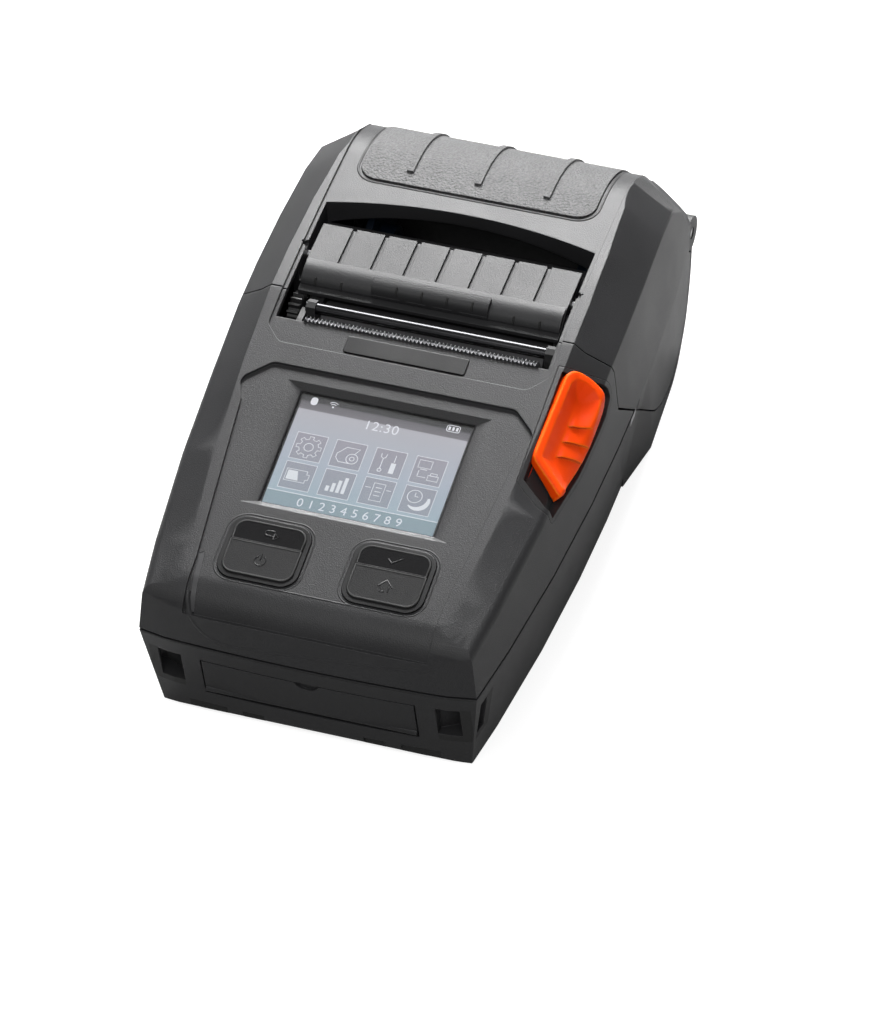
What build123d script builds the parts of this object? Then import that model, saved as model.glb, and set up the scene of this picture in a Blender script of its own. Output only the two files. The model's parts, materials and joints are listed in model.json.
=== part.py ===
from build123d import *
import os
from math import acos, asin, atan2, cos, degrees, hypot, pi, radians, sin, sqrt, tan

# Portable label printer: a clamshell body with a roll bay behind, a colour display and keys in front,
# a peeler flap in the mouth and a slide latch on the right shoulder.
# Millimetres. X to the right, Y to the rear, Z up. The origin is on the floor under the middle of the body.

os.makedirs("parts", exist_ok=True)

# Body
bay_radius = 31.5  # outside of the roll bay, seen from the side
bay_y = 57.3  # axis of the roll bay
front_y = -92.0  # foremost point of the body
wall = 2.2
seam_z = 28.2  # parting line of base and top case
seam_gap = 0.8
side_lean = 8.0  # draft of the side walls in degrees, either way from the seam
cheek_lean = 7.0  # the same above the seam, in front of lean_start_y
lean_start_y = -17.0  # behind this the cheeks stand ever more upright
lean_rate = 0.046  # degrees per millimetre
waist_half = 52.4  # half width at the seam, where the body is widest
waist_y = 10.0
side_arc = 636.0  # radius of the bowed sides, seen from above
plateau_inset = 11.7  # from the waist to the edge of the flat top
facet_start_y = -80.0
facet_end_y = 5.0
facet_drop_front = 2.0
facet_drop_rate = 0.07  # how much the shoulder facet deepens per millimetre towards the rear
rear_fall_y = 64.0  # behind this the edge of the facet arches down to the seam
rear_fall = 0.02
facet_reach = 4.0
corner_half = 37.0  # half width between the front corner chamfers
corner_depth = 1.1  # how far the front bows out
chamfer_run = 4.4
front_round = 12.0
toe_round = 4.0
shoulder_round = 3.0
cheek_round = 1.0  # the same edge on the roll cover

# Display face
face_tilt = 10.5  # slope of the display face in degrees
face_y = -39.4  # middle of the display
face_z = 52.2
crown_y = 5.0  # where the sloping face ends and the crown of the cover begins
zone_depth = 0.8
zone_round = 3.0
display_width = 45.12
display_height = 33.84
recess_width = 54.4
recess_height = 38.6
recess_depth = 2.4
bezel_thickness = 3.4
window_thickness = 1.0
panel_thickness = 2.8

# Clearances
running = 0.05  # radial, shaft in a bore
sliding = 0.3
panel_gap = 0.4
seat_gap = 0.1

# Keys
key_gap = 0.35  # between a key and its frame
key_travel = 0.8
key_proud = 0.7
frame_proud = 0.4
frame_width = 21.6
frame_height = 18.8
frame_x = 16.4
frame_v = -32.6  # from the middle of the display, down the face
frame_rim = 1.3
frame_round = 4.6
upper_height = 5.8

# Mouth and cover
mouth_half = 36.5
mouth_front_y = -2.5
mouth_rear_y = 38.2
mouth_arch = 4.8
cover_front_y = 6.5
cheek_corner_y = 8.6
cheek_corner_z = 38.5
pocket_wall = 1.7
pocket_floor_z = 47.0
pocket_front_y = 15.2
roll_clearance = 30.2  # radius kept free for the roll under the pocket
rail_step = 0.6
rail_half = 37.6
rail_round = 3.0

# Hinge
hinge_y = 87.2
hinge_z = 28.2
hinge_radius = 4.8
hinge_pin_radius = 1.6
hinge_half = 47.5
knuckle_outer = 36.0
knuckle_inner = 14.0

# Print unit
unit_x = 2.7  # the print unit sits right of centre and leaves room for the gear train
media_width = 58.0
platen_length = 60.0
platen_radius = 5.5
platen_y = 8.2
platen_z = 49.0
shaft_radius = 2.0
bush_radius = 3.4
bush_length = 2.4
peel_radius = 1.5
peel_y = 5.2
peel_z = 56.2
gear_module = 0.6
tooth_above = 0.9  # height of a tooth above the pitch circle, in modules
tooth_below = 1.1
root_share = 0.3  # half the width of a tooth at its root, as a share of the pitch
tip_share = 0.11
platen_teeth = 20
idler_teeth = 28
pinion_teeth = 12
gear_width = 3.0
gear_x = -34.8  # middle plane of the gear train
motor_radius = 10.0
motor_length = 17.0
head_height = 11.5
head_thickness = 1.9
tooth_pitch = 1.05

# Roll bay
guide_thickness = 1.8
guide_travel = 16.0
core_radius = 6.0
core_length = 4.0
rod_radius = 2.0

# Front of the base
door_half = 28.0
door_low = 9.3
door_high = 22.0
door_thickness = 1.8
battery_width = 40.0
battery_length = 68.0
battery_height = 18.0

# Slide latch
slide_angle = radians(8.0)  # the lever slides forward and a little down
slide_y = -15.0
lever_travel = 4.0
lever_floor = 3.0  # depth of the lever's underside below the shoulder
lever_inner_x = 40.6
lever_rim = 1.9
scoop_depth = 0.7
bezel_wall = 1.4
bezel_rim = 1.6
lever_outline = [
    (-3.8, 60), (3.7, 49.4), (4.3, 46), (0, 43.5), (-6.4, 43.4), (-16.6, 42.5), (-34, 44.4), (-34.8, 48.3), (-29.2, 54.5),
]
hook_z = (42.0, 45.2)
hook_end = 7.6

# Print unit frame
plate_thickness = 1.5
plate_half_left = 35.4
plate_half_right = 33.9
frame_floor = 22.0
frame_outline = [(-12.4, 22), (11.6, 22), (14.2, 30), (14.2, 52), (10.6, 54.4), (2.5, 54.4), (-12.4, 53.0)]
head_front = 2.3
lip_low = 53.2
tooth_root_z = 58.6
carrier_left = (-30.6, -28.2)
carrier_right = (33.6, 36.0)
arm_outline = [
    (15.2, 44.5), (6, 44.5), (4, 47), (3.2, 55.2), (3.6, 57.6), (5.2, 58.2), (6.8, 57.6), (8.6, 54.6), (15.2, 54.6),
]
pivot_y = 22.8  # axis of the peeler flap
pivot_z = 57.5
flap_half = 35.1
flap_outline = [
    (10.2, 56.6), (13.1, 57.2), (17.7, 60.3), (31.5, 60.8), (31.5, 59.2), (18.6, 58.5), (13.6, 55.7), (10.2, 55.5),
]
panel_front_y = 49.4
panel_half = 32.0

# Media guides
rod_y = 22.5
guide_inner = 29.3
guide_radius = 13.0
collar_radius = 4.0
rack_module = 0.75
rack_teeth = 12
rack_y = (14.0, 17.0)
rack_back = 2.0
stud_radius = 1.5
divider = 1.8  # wall between the roll bay and the front of the base

# Faces, boards and ports
plate_v = 33.1
board_depth = 4.8
key_flange = 0.6
light_outline = [(-32.3, -75.4), (-31.2, -74.8), (-30.9, -75.4), (-28.9, -92), (-30.1, -92)]
battery_y = -76.0
door_axis_z = 10.6
door_barrel = 1.0

bay_z = bay_radius
top_z = bay_z + bay_radius
lean = tan(radians(side_lean))
tilt = radians(face_tilt)
rod_z = 12.0
rack_z = rod_z
rack_pinion_radius = rack_module * rack_teeth / 2
opening_width = frame_width - 2 * frame_rim
opening_height = frame_height - 2 * frame_rim
opening_round = frame_round - frame_rim
split_v = frame_v + opening_height / 2 - key_gap - upper_height - key_gap / 2
frame_bottom = zone_depth - frame_proud + wall
door_axis_y = front_y + (seam_z - door_axis_z) * tan(radians(side_lean)) + door_barrel
hull_stations = (-100, -72, -44, -17, 5, 20, 38, 56, 67, 76, 83, 90)
face_plane = Plane(origin=(0, face_y, face_z), x_dir=(1, 0, 0), z_dir=(0, -sin(tilt), cos(tilt)))


def face_height(y):
    """Height of the sloping display face at y."""
    return face_z + (y - face_y) * tan(tilt)


def waist(y):
    """Half width of the body at the seam."""
    return waist_half - (y - waist_y) ** 2 / (2 * side_arc)


def shoulder(y):
    """Half width and height of the edge between side wall and shoulder facet at y."""
    drop = facet_drop_front + facet_drop_rate * (min(y, facet_end_y) - facet_start_y)
    fall = rear_fall * max(y - rear_fall_y, 0) ** 2
    height = max(roof(y) - drop - fall, seam_z + 2)
    upright = radians(cheek_lean - lean_rate * max(y - lean_start_y, 0))
    return waist(y) - (height - seam_z) * tan(upright), height


def roof(y):
    """Height of the top at y: the face, then the crown of the cover, then the back of the bay."""
    if y <= crown_y:
        return face_height(y)
    if y <= bay_y:
        rise = top_z - face_height(crown_y)
        return top_z - rise * ((bay_y - y) / (bay_y - crown_y)) ** 2
    reach = min(y - bay_y, 0.9 * bay_radius)
    return bay_z + sqrt(bay_radius**2 - reach**2)


def side_profile(inset):
    """Outline of the body seen from the side, moved in by inset."""
    slope = tan(tilt)
    nose_top = (face_height(front_y) - seam_z * lean * slope) / (1 - lean * slope)
    toe = (front_y + seam_z * lean, 0)
    nose = (front_y, seam_z)
    brow = (front_y + (nose_top - seam_z) * lean, nose_top)
    crown = (crown_y, face_height(crown_y))
    top = (bay_y, top_z)
    with BuildSketch(Plane.YZ) as sketch:
        with BuildLine():
            Polyline((bay_y, 0), toe, nose, brow, crown)
            TangentArc(crown, top, tangent=(-1, 0), tangent_from_first=False)
            ThreePointArc(top, (bay_y + bay_radius, bay_z), (bay_y, 0))
        make_face()
        fillet(sketch.vertices().sort_by_distance((*brow, 0))[0], front_round)
        fillet(sketch.vertices().sort_by_distance((*toe, 0))[0], toe_round)
        if inset:
            offset(amount=-inset, kind=Kind.INTERSECTION, mode=Mode.REPLACE)
    return sketch.sketch


def front_wedge(inset, up):
    """Block behind the bowed and chamfered front, drafted up or down from the seam."""
    front = front_y + inset
    corner = (corner_half - 0.4 * inset, front + corner_depth)
    side = (waist_half + 2 * chamfer_run, corner[1] + chamfer_run)
    back = (side[0], -2 * front_y)
    with BuildPart() as block:
        with BuildSketch(Plane.XY.offset(seam_z)):
            with BuildLine():
                ThreePointArc((-corner[0], corner[1]), (0, front), corner)
                Polyline(corner, side, back, (-back[0], back[1]), (-side[0], side[1]), (-corner[0], corner[1]))
            make_face()
        if up:
            extrude(amount=top_z, dir=(0, 0, 1), taper=side_lean)
        else:
            extrude(amount=seam_z + 1, dir=(0, 0, -1), taper=side_lean)
    return block.part


def hull(inset):
    """Drafted side walls and shoulder facets, lofted from front to rear."""
    with BuildPart() as body:
        for y in hull_stations:
            top = roof(y)
            half = waist(y)
            shoulder_half, shoulder_z = shoulder(y)
            edge_half = half - plateau_inset
            slope = (top - shoulder_z) / (shoulder_half - edge_half)
            foot_half = half - seam_z * lean
            rounding = shoulder_round if y < facet_end_y else cheek_round
            right = [
                (foot_half - inset, 0),
                (half - inset, seam_z),
                (shoulder_half - inset, shoulder_z - 0.5 * inset),
                (edge_half - facet_reach - inset, top + slope * facet_reach - 0.5 * inset),
            ]
            with BuildSketch(Plane.XZ.offset(-y)) as section:
                with BuildLine():
                    Polyline(*right, *[(-x, z) for x, z in reversed(right)], close=True)
                make_face()
                fillet(section.vertices().filter_by(lambda v: abs(v.Y - right[2][1]) < 0.01), rounding)
        loft(ruled=True)
    return body.part


def bay_flare(inset):
    """Straight-sided bulge of the base round the roll bay."""
    start, full = 18.0, 34.0
    low = waist(start) - seam_z * lean + 0.4
    with BuildPart() as bulge:
        with BuildSketch(Plane.XY):
            with BuildLine():
                ends = [(waist(y) - 0.3 - inset, y) for y in (full, 58, 76, 92)]
                right = [(low - inset, start), *ends]
                Polyline(*right, *[(-x, y) for x, y in reversed(right)], close=True)
            make_face()
        extrude(amount=seam_z)
        extrude(side_profile(inset), amount=waist_half, both=True, mode=Mode.INTERSECT)
    return bulge.part


def envelope(inset):
    """Outside form of the closed body, moved in by inset."""
    with BuildPart() as form:
        add(hull(inset))
        extrude(side_profile(inset), amount=waist_half + 5, both=True, mode=Mode.INTERSECT)
        add(front_wedge(inset, True) + front_wedge(inset, False), mode=Mode.INTERSECT)
        add(bay_flare(inset))
    return form.part


def cover_region(gap):
    """Everything that belongs to the roll cover, seen from the side, grown by gap."""
    radius = bay_radius - wall - panel_gap + gap
    corner = (cheek_corner_y - gap, cheek_corner_z - gap)
    away = (corner[0] - bay_y, corner[1] - bay_z)
    turn = atan2(away[1], away[0]) + acos(radius / hypot(*away))
    touch = (bay_y + radius * cos(turn), bay_z + radius * sin(turn))
    end_angle = asin((hinge_z - gap - bay_z) / radius)
    end = (bay_y + radius * cos(end_angle), bay_z + radius * sin(end_angle))
    rear = bay_y + bay_radius + 5
    with BuildPart() as region:
        with BuildSketch(Plane.YZ):
            with BuildLine():
                Polyline((cover_front_y - gap, top_z + 8), (cover_front_y - gap, 58), (9.6 - gap, 50), corner, touch)
                ThreePointArc(touch, (bay_y, bay_z - radius), end)
                Polyline(end, (rear, end[1]), (rear, top_z + 8), (cover_front_y - gap, top_z + 8))
            make_face()
        extrude(amount=waist_half + 10, both=True)
    return region.part


def gear_outline(teeth, module, turn):
    """Straight-flanked outline of a spur gear; turn is the angle of its first tooth in degrees."""
    pitch = module * teeth / 2
    tip = pitch + tooth_above * module
    root = pitch - tooth_below * module
    step = 360 / teeth
    points = []
    for i in range(teeth):
        for reach, share in ((root, -root_share), (tip, -tip_share), (tip, tip_share), (root, root_share)):
            angle = radians(turn + step * (i + share))
            points.append((reach * cos(angle), reach * sin(angle)))
    return points


def gear(teeth, y, z, turn):
    """Spur gear in the plane of the gear train; turn is the angle of its first tooth in degrees."""
    with BuildPart() as wheel:
        with BuildSketch(Plane.YZ.offset(gear_x - gear_width / 2)):
            with Locations((y, z)):
                Polygon(*gear_outline(teeth, gear_module, turn), align=None)
        extrude(amount=gear_width)
    return wheel.part


def mesh_turn(teeth_a, turn_a, direction, teeth_b):
    """Angle of a first tooth of gear b that is in mesh with gear a, seen from a in the given direction."""
    step = 360 / teeth_a
    off = (turn_a - direction + step / 2) % step - step / 2
    return direction + 180 - off * teeth_a / teeth_b + 180 / teeth_b


def block(x, y, z):
    """Box that spans three ranges."""
    return Solid.make_box(x[1] - x[0], y[1] - y[0], z[1] - z[0], Plane((x[0], y[0], z[0])))


def bar(x, y, z, radius):
    """Round bar along X."""
    return Solid.make_cylinder(radius, x[1] - x[0], Plane((x[0], y, z), x_dir=(0, 1, 0), z_dir=(1, 0, 0)))


def post(x, y, z, radius):
    """Round upright."""
    return Solid.make_cylinder(radius, z[1] - z[0], Plane((x, y, z[0])))


def stub(x, y, z, radius):
    """Round bar along Y."""
    return Solid.make_cylinder(radius, y[1] - y[0], Plane((x, y[0], z), x_dir=(1, 0, 0), z_dir=(0, 1, 0)))


def side_prism(points, x):
    """Outline seen from the side, carried along X."""
    face = Face(Wire.make_polygon([Vector(x[0], y, z) for y, z in points]))
    return Solid.extrude(face, Vector(x[1] - x[0], 0, 0))


def plan_prism(points, z):
    """Outline seen from above, carried along Z."""
    face = Face(Wire.make_polygon([Vector(x, y, z[0]) for x, y in points]))
    return Solid.extrude(face, Vector(0, 0, z[1] - z[0]))


def front_prism(points, y):
    """Outline seen from the front, carried along Y."""
    face = Face(Wire.make_polygon([Vector(x, y[0], z) for x, z in points]))
    return Solid.extrude(face, Vector(0, y[1] - y[0], 0))


def side_form(inset):
    """Side profile of the body carried across its whole width."""
    with BuildPart() as form:
        extrude(side_profile(inset), amount=waist_half + 10, both=True)
    return form.part


def mirrored(points):
    """Right half of an outline completed with its mirror image."""
    return points + [(-x, other) for x, other in reversed(points)]


def face_slab(u, v, width, height, depth, thickness, rounding):
    """Rounded plate parallel to the display face, its top at depth below the face."""
    plane = face_plane.offset(-depth - thickness)
    with BuildPart() as slab:
        with BuildSketch(plane):
            with Locations((u, v)):
                RectangleRounded(width, height, rounding)
        extrude(amount=thickness)
    return slab.part


def key_plate(side, half, inset, depth, thickness):
    """Plate in a key opening: the upper or lower key, or the whole opening where half is 0."""
    u = side * frame_x
    plane = face_plane.offset(-depth - thickness)
    with BuildPart() as plate:
        with BuildSketch(plane):
            with Locations((u, frame_v)):
                width = opening_width - 2 * inset
                height = opening_height - 2 * inset
                RectangleRounded(width, height, opening_round - inset)
            if half:
                start = split_v + half * key_gap / 2
                with Locations((u, start + half * height / 2)):
                    Rectangle(width, height, mode=Mode.INTERSECT)
        extrude(amount=thickness)
    return plate.part


def mouth_form(grow, y_start, floor, radius):
    """Mouth of the cover, grown by grow, open above floor and outside radius round the bay axis."""
    half = mouth_half + grow
    back = mouth_rear_y + grow
    with BuildPart() as form:
        with BuildSketch(Plane.XY.offset(floor)):
            with BuildLine():
                ThreePointArc((half, back), (0, back + mouth_arch), (-half, back))
                Polyline((-half, back), (-half, y_start), (half, y_start), (half, back))
            make_face()
        extrude(amount=top_z + 5 - floor)
    return form.part - bar((-60, 60), bay_y, bay_z, radius)


def outside_shoulder(depth):
    """Everything outside the right shoulder, deeper than the surface by depth, true along the lever's slide."""
    edge = (waist(slide_y) - plateau_inset, roof(slide_y))
    bend = shoulder(slide_y)
    low = (waist(slide_y), seam_z)
    facet = (-sin(atan2(edge[1] - bend[1], bend[0] - edge[0])), -cos(atan2(edge[1] - bend[1], bend[0] - edge[0])))
    flank = (-cos(radians(side_lean)), -sin(radians(side_lean)))
    share = depth / (1 + facet[0] * flank[0] + facet[1] * flank[1])
    corner = (bend[0] + share * (facet[0] + flank[0]), bend[1] + share * (facet[1] + flank[1]))
    start = (edge[0] + depth * facet[0] + 8 * facet[1], edge[1] + depth * facet[1] - 8 * facet[0])
    end = (low[0] + depth * flank[0], low[1] + depth * flank[1])
    points = [start, corner, end, (80, end[1]), (80, 90), (start[0], 90)]
    lift = cos(slide_angle)
    plane = Plane(origin=(0, slide_y, 48), x_dir=(1, 0, 0), z_dir=(0, -cos(slide_angle), -sin(slide_angle)))
    with BuildPart() as zone:
        with BuildSketch(plane):
            Polygon(*[(x, (z - 48) * lift) for x, z in points], align=None)
        extrude(amount=60, both=True)
    return zone.part


def lever_prism(grow, travel):
    """Outline of the latch lever seen from the side, grown and drawn out along its slide."""
    shift = (-travel * cos(slide_angle), -travel * sin(slide_angle))
    with BuildPart() as prism:
        with BuildSketch(Plane.YZ.offset(lever_inner_x - grow)):
            Polygon(*lever_outline, align=None)
            fillet(vertices(), 1.5)
            if travel:
                with Locations(shift):
                    Polygon(*lever_outline, align=None)
                make_hull()
            if grow:
                offset(amount=grow)
        extrude(amount=20)
    return prism.part


def rack(lower):
    """Toothed bar of one media guide; the lower rack belongs to the right guide."""
    side = 1 if lower else -1
    pitch = pi * rack_module
    teeth = int((guide_travel + 8) / pitch)
    root = rack_z - side * (rack_pinion_radius + tooth_below * rack_module)
    with BuildPart() as form:
        with BuildSketch(Plane.XZ.offset(-rack_y[1])):
            with Locations((side * 18.0, root - side * rack_back / 2)):
                Rectangle(44, rack_back)
            for i in range(teeth):
                x = side * (i - 1) * pitch
                half_root = root_share * pitch
                half_tip = tip_share * pitch
                tall = (tooth_above + tooth_below) * rack_module
                points = [
                    (x - half_root, root - side * 0.2),
                    (x + half_root, root - side * 0.2),
                    (x + half_tip, root + side * tall),
                    (x - half_tip, root + side * tall),
                ]
                Polygon(*points, align=None)
        extrude(amount=rack_y[1] - rack_y[0])
    return form.part


def media_guide(side):
    """Guide plate on its collar, arm and rack; side is 1 on the right, -1 on the left."""
    inner = side * guide_inner
    plate = sorted((inner, inner + side * guide_thickness))
    collar = sorted((inner, inner + side * 8.0))
    arm = sorted((inner, inner + side * 3.0))
    away = (bay_y - rod_y, bay_z - rod_z)
    length = hypot(*away)
    along = (away[0] / length, away[1] / length)
    half = 2.0
    arm_points = [
        (rod_y - half * along[1], rod_z + half * along[0]),
        (rod_y + half * along[1], rod_z - half * along[0]),
        (rod_y + 24 * along[0] + half * along[1], rod_z + 24 * along[1] - half * along[0]),
        (rod_y + 24 * along[0] - half * along[1], rod_z + 24 * along[1] + half * along[0]),
    ]
    blade = 9.0
    plate_points = [
        (rod_y + 15 * along[0] - 3 * along[1], rod_z + 15 * along[1] + 3 * along[0]),
        (rod_y + 15 * along[0] + 3 * along[1], rod_z + 15 * along[1] - 3 * along[0]),
        (bay_y + blade * along[1], bay_z - blade * along[0]),
        (bay_y - blade * along[1], bay_z + blade * along[0]),
    ]
    boss = sorted((inner - side * core_length, inner + side * guide_thickness))
    link_z = sorted((rack_z, rack_z - side * (rack_pinion_radius + tooth_below * rack_module + rack_back)))
    with BuildPart() as guide:
        add(side_prism(plate_points, plate))
        add(bar(plate, bay_y, bay_z, guide_radius))
        add(bar(boss, bay_y, bay_z, core_radius))
        add(side_prism(arm_points, arm))
        add(bar(collar, rod_y, rod_z, collar_radius))
        add(block(collar, (rack_y[0], rod_y), link_z))
        add(rack(side == 1))
        add(bar((-60, 60), rod_y, rod_z, rod_radius + running), mode=Mode.SUBTRACT)
        add(bar((-60, 60), bay_y, bay_z, core_radius - 1.6), mode=Mode.SUBTRACT)
    return guide.part


def save(form, name):
    """Label a finished piece and write it."""
    form.part.label = name
    export_step(form.part, "parts/" + name + ".step")


outer = envelope(0)
inner = envelope(wall)
skin_depth = side_form(zone_depth)
rail_depth = side_form(rail_step)
beyond_floor = outside_shoulder(lever_floor)
beyond_pocket = outside_shoulder(lever_floor + sliding)
beyond_bezel = outside_shoulder(lever_floor + sliding + bezel_wall)
hinge_clear = bar((-60, 60), hinge_y, hinge_z, hinge_radius + panel_gap)
hinge_bore = bar((-60, 60), hinge_y, hinge_z, hinge_pin_radius + running)
bay_core = bar((-60, 60), bay_y, bay_z, bay_radius - wall)
zone_outline = [(32.0, -95), (32.4, -77), (36.9, -29), (39.2, -23), (32.4, -16.5)]
rail_outline = [(rail_half, 95), (rail_half, -5.4), (33.2, -10.2)]
with BuildPart() as zone_plan:
    with BuildSketch(Plane.XY.offset(37.5)):
        Polygon(*mirrored(zone_outline), align=None)
        fillet(vertices().filter_by(lambda v: v.Y > -50), zone_round)
    extrude(amount=30)
with BuildPart() as rail_plan:
    with BuildSketch(Plane.XY.offset(34)):
        Polygon(*mirrored(rail_outline), align=None)
        fillet(vertices().filter_by(lambda v: v.Y < 0), rail_round)
    extrude(amount=36)
zone_tool = zone_plan.part - skin_depth
rail_tool = rail_plan.part - rail_depth
front_low = front_y + (seam_z - door_low) * lean
mouth_cut = block((-mouth_half, mouth_half), (mouth_front_y, 30), (40, 75))
plate_left = (unit_x - plate_half_left, unit_x - plate_half_left + plate_thickness)
plate_right = (unit_x + plate_half_right, unit_x + plate_half_right + plate_thickness)
ports = (-15.0, 13.0)
post_places = [(unit_x - 29, -8.6), (unit_x + 29, -8.6), (unit_x - 29, 8.0), (unit_x + 29, 8.0)]
case_places = [(-39.5, -74.0), (39.5, -74.0), (-43.5, -2.0), (43.5, -2.0)]
idler_away = platen_teeth + idler_teeth
idler_y = platen_y - 0.29 * gear_module * idler_away / 2
idler_z = platen_z - sqrt(1 - 0.29**2) * gear_module * idler_away / 2
motor_y = idler_y - gear_module * (idler_teeth + pinion_teeth) / 2
motor_z = idler_z
platen_turn = degrees(atan2(idler_z - platen_z, idler_y - platen_y))
idler_turn = mesh_turn(platen_teeth, platen_turn, platen_turn, idler_teeth)
pinion_turn = mesh_turn(idler_teeth, idler_turn, 180, pinion_teeth)

# Base shell with the trough of the roll bay, the battery bay and the port recess
strap_outline = [(33.5, -96), (39.8, -96), (39.8, -88.0), (42.5, -86.0), (56, -86.0), (56, -82.4), (40.6, -82.4), (33.5, -86.4)]
strap_walls = [(31.9, -91), (31.9, -85.4), (40.0, -80.8), (50, -80.8), (50, -91)]
with BuildPart() as base_shell:
    add(outer)
    add(block((-60, 60), (-100, 100), (seam_z - seam_gap / 2, 80)) - cover_region(panel_gap + divider), mode=Mode.SUBTRACT)
    add(cover_region(panel_gap), mode=Mode.SUBTRACT)
    add(block((-60, 60), (-100, bay_y), (seam_z - seam_gap / 2, 80)), mode=Mode.SUBTRACT)
    add(inner - cover_region(panel_gap + divider), mode=Mode.SUBTRACT)
    add(block((-battery_width / 2 - 2, battery_width / 2 + 2), (battery_y - 2, battery_y + battery_length + 2), (1, battery_height + 2.5)))
    add(block((-battery_width / 2 - sliding, battery_width / 2 + sliding), (battery_y - sliding, battery_y + battery_length + sliding), (-1, battery_height + 0.9)), mode=Mode.SUBTRACT)
    add(block((-30, 30), (front_low + door_thickness + 0.6, front_low + door_thickness + 2.4), (2, seam_z - 2)))
    add(outer & block((-door_half - 0.4, door_half + 0.4), (-100, front_low + door_thickness + 0.6), (door_low - 0.5, door_high + 0.4)), mode=Mode.SUBTRACT)
    add(block((ports[0] - 5.2, ports[0] + 5.2), (-95, -80), (13.2, 17.8)), mode=Mode.SUBTRACT)
    add(stub(ports[1], (-95, -80), 15.5, 4.2), mode=Mode.SUBTRACT)
    for side in (-1, 1):
        walls = plan_prism([(side * x, y) for x, y in strap_walls], (10.2, 24.2)) & outer
        add(walls)
        add(plan_prism([(side * x, y) for x, y in strap_outline], (11.8, 22.6)), mode=Mode.SUBTRACT)
        for centre, width in ((28.2, 10.2), (16.1, 5.7)):
            add(block((side * centre - width / 2, side * centre + width / 2), (-95, -87.6), (1.2, 4.0)), mode=Mode.SUBTRACT)
        slot = sorted((side * (guide_inner + 3.5), side * (guide_inner - guide_travel - 0.6)))
        add(side_prism([(22.6, 13.6), (32.0, 23.6), (37.4, 18.4), (28.4, 8.2)], slot), mode=Mode.SUBTRACT)
        add(block(sorted((side * 44.5, side * 46.6)), (rod_y - 4, rod_y + 4), (2, rod_z + 4)))
    add(bar((-46.7, 46.7), rod_y, rod_z, rod_radius), mode=Mode.SUBTRACT)
    add(block((-4, 4), (rack_y[1] + 0.4, rack_y[1] + 2.4), (2, rack_z + 4)))
    add(stub(0, (rack_y[0] - 0.6, rack_y[1] + 1), rack_z, stud_radius))
    add(block((-40, 40), (rack_y[0] + 0.4, rack_y[1] - 0.4), (2, rack_z - rack_pinion_radius - tooth_below * rack_module - rack_back - running)))
    for x, y in post_places:
        add(block((x - 3.2, x + 3.2), (y - 3.2, y + 3.2), (2, frame_floor)))
        add(post(x, y, (10, frame_floor), 1.2), mode=Mode.SUBTRACT)
    for x, y in case_places:
        add(post(x, y, (1, seam_z - seam_gap / 2), 3.6))
        add(post(x, y, (-1, 2.4), 2.9), mode=Mode.SUBTRACT)
        add(post(x, y, (-1, 40), 1.5), mode=Mode.SUBTRACT)
    add(hinge_clear, mode=Mode.SUBTRACT)
    for x in ((-knuckle_inner + 0.3, knuckle_inner - 0.3), (knuckle_outer + 0.2, hinge_half), (-hinge_half, -knuckle_outer - 0.2)):
        add(bar(x, hinge_y, hinge_z, hinge_radius))
        add((outer & block(x, (78, 90), (14, hinge_z))) - bay_core)
    add(hinge_bore, mode=Mode.SUBTRACT)
save(base_shell, "base_shell")

# Top case with the display face, the key openings and the shoulder recess of the lever
lip_x = (plate_left[1] + 0.5, plate_right[0] - 0.5)
with BuildPart() as top_case:
    add(outer)
    add(block((-60, 60), (-100, 100), (-1, seam_z + seam_gap / 2)), mode=Mode.SUBTRACT)
    add(cover_region(panel_gap), mode=Mode.SUBTRACT)
    add(block((-60, 60), (32, 100), (0, 80)), mode=Mode.SUBTRACT)
    add(inner, mode=Mode.SUBTRACT)
    add(block(lip_x, (mouth_front_y - 2, mouth_front_y + 1), (lip_low, 57.6)))
    for x, y in case_places:
        side = 1 if x > 0 else -1
        add(post(x, y, (seam_z + seam_gap / 2, 38), 3.6))
        add(outer & block(sorted((x, side * 50.0)), (y - 1, y + 1), (seam_z + 1, 38)))
        add(post(x, y, (seam_z - 1, 36), 1.3), mode=Mode.SUBTRACT)
    for u in (-26, 26):
        for v in (frame_v - 9.5, frame_v + 9.5):
            with BuildSketch(face_plane.offset(-board_depth)):
                with Locations((u, v)):
                    Rectangle(3.6, 3.6)
            extrude(amount=board_depth - wall + 0.2)
    add(zone_tool, mode=Mode.SUBTRACT)
    add(rail_tool, mode=Mode.SUBTRACT)
    add(mouth_cut, mode=Mode.SUBTRACT)
    with BuildSketch(face_plane.offset(-zone_depth)):
        Rectangle(recess_width, recess_height)
    with BuildSketch(face_plane.offset(-wall)):
        Rectangle(display_width + 1, display_height + 1)
    loft(mode=Mode.SUBTRACT)
    with BuildSketch(face_plane.offset(-wall - 0.01)):
        Rectangle(display_width + 1, display_height + 1)
    extrude(amount=1, mode=Mode.SUBTRACT)
    for side in (-1, 1):
        add(face_slab(side * frame_x, frame_v, frame_width, frame_height, -1, 6, frame_round), mode=Mode.SUBTRACT)
    add(face_slab(0, plate_v, 32.4 + 0.2, 5.0 + 0.2, rail_step - 1, 1.5, 0.6), mode=Mode.SUBTRACT)
    add(plan_prism(light_outline, (37.5, 70)) - side_form(3.0), mode=Mode.SUBTRACT)
    add(lever_prism(bezel_rim + seat_gap, lever_travel + 0.5) & beyond_bezel, mode=Mode.SUBTRACT)
save(top_case, "top_case")

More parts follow.
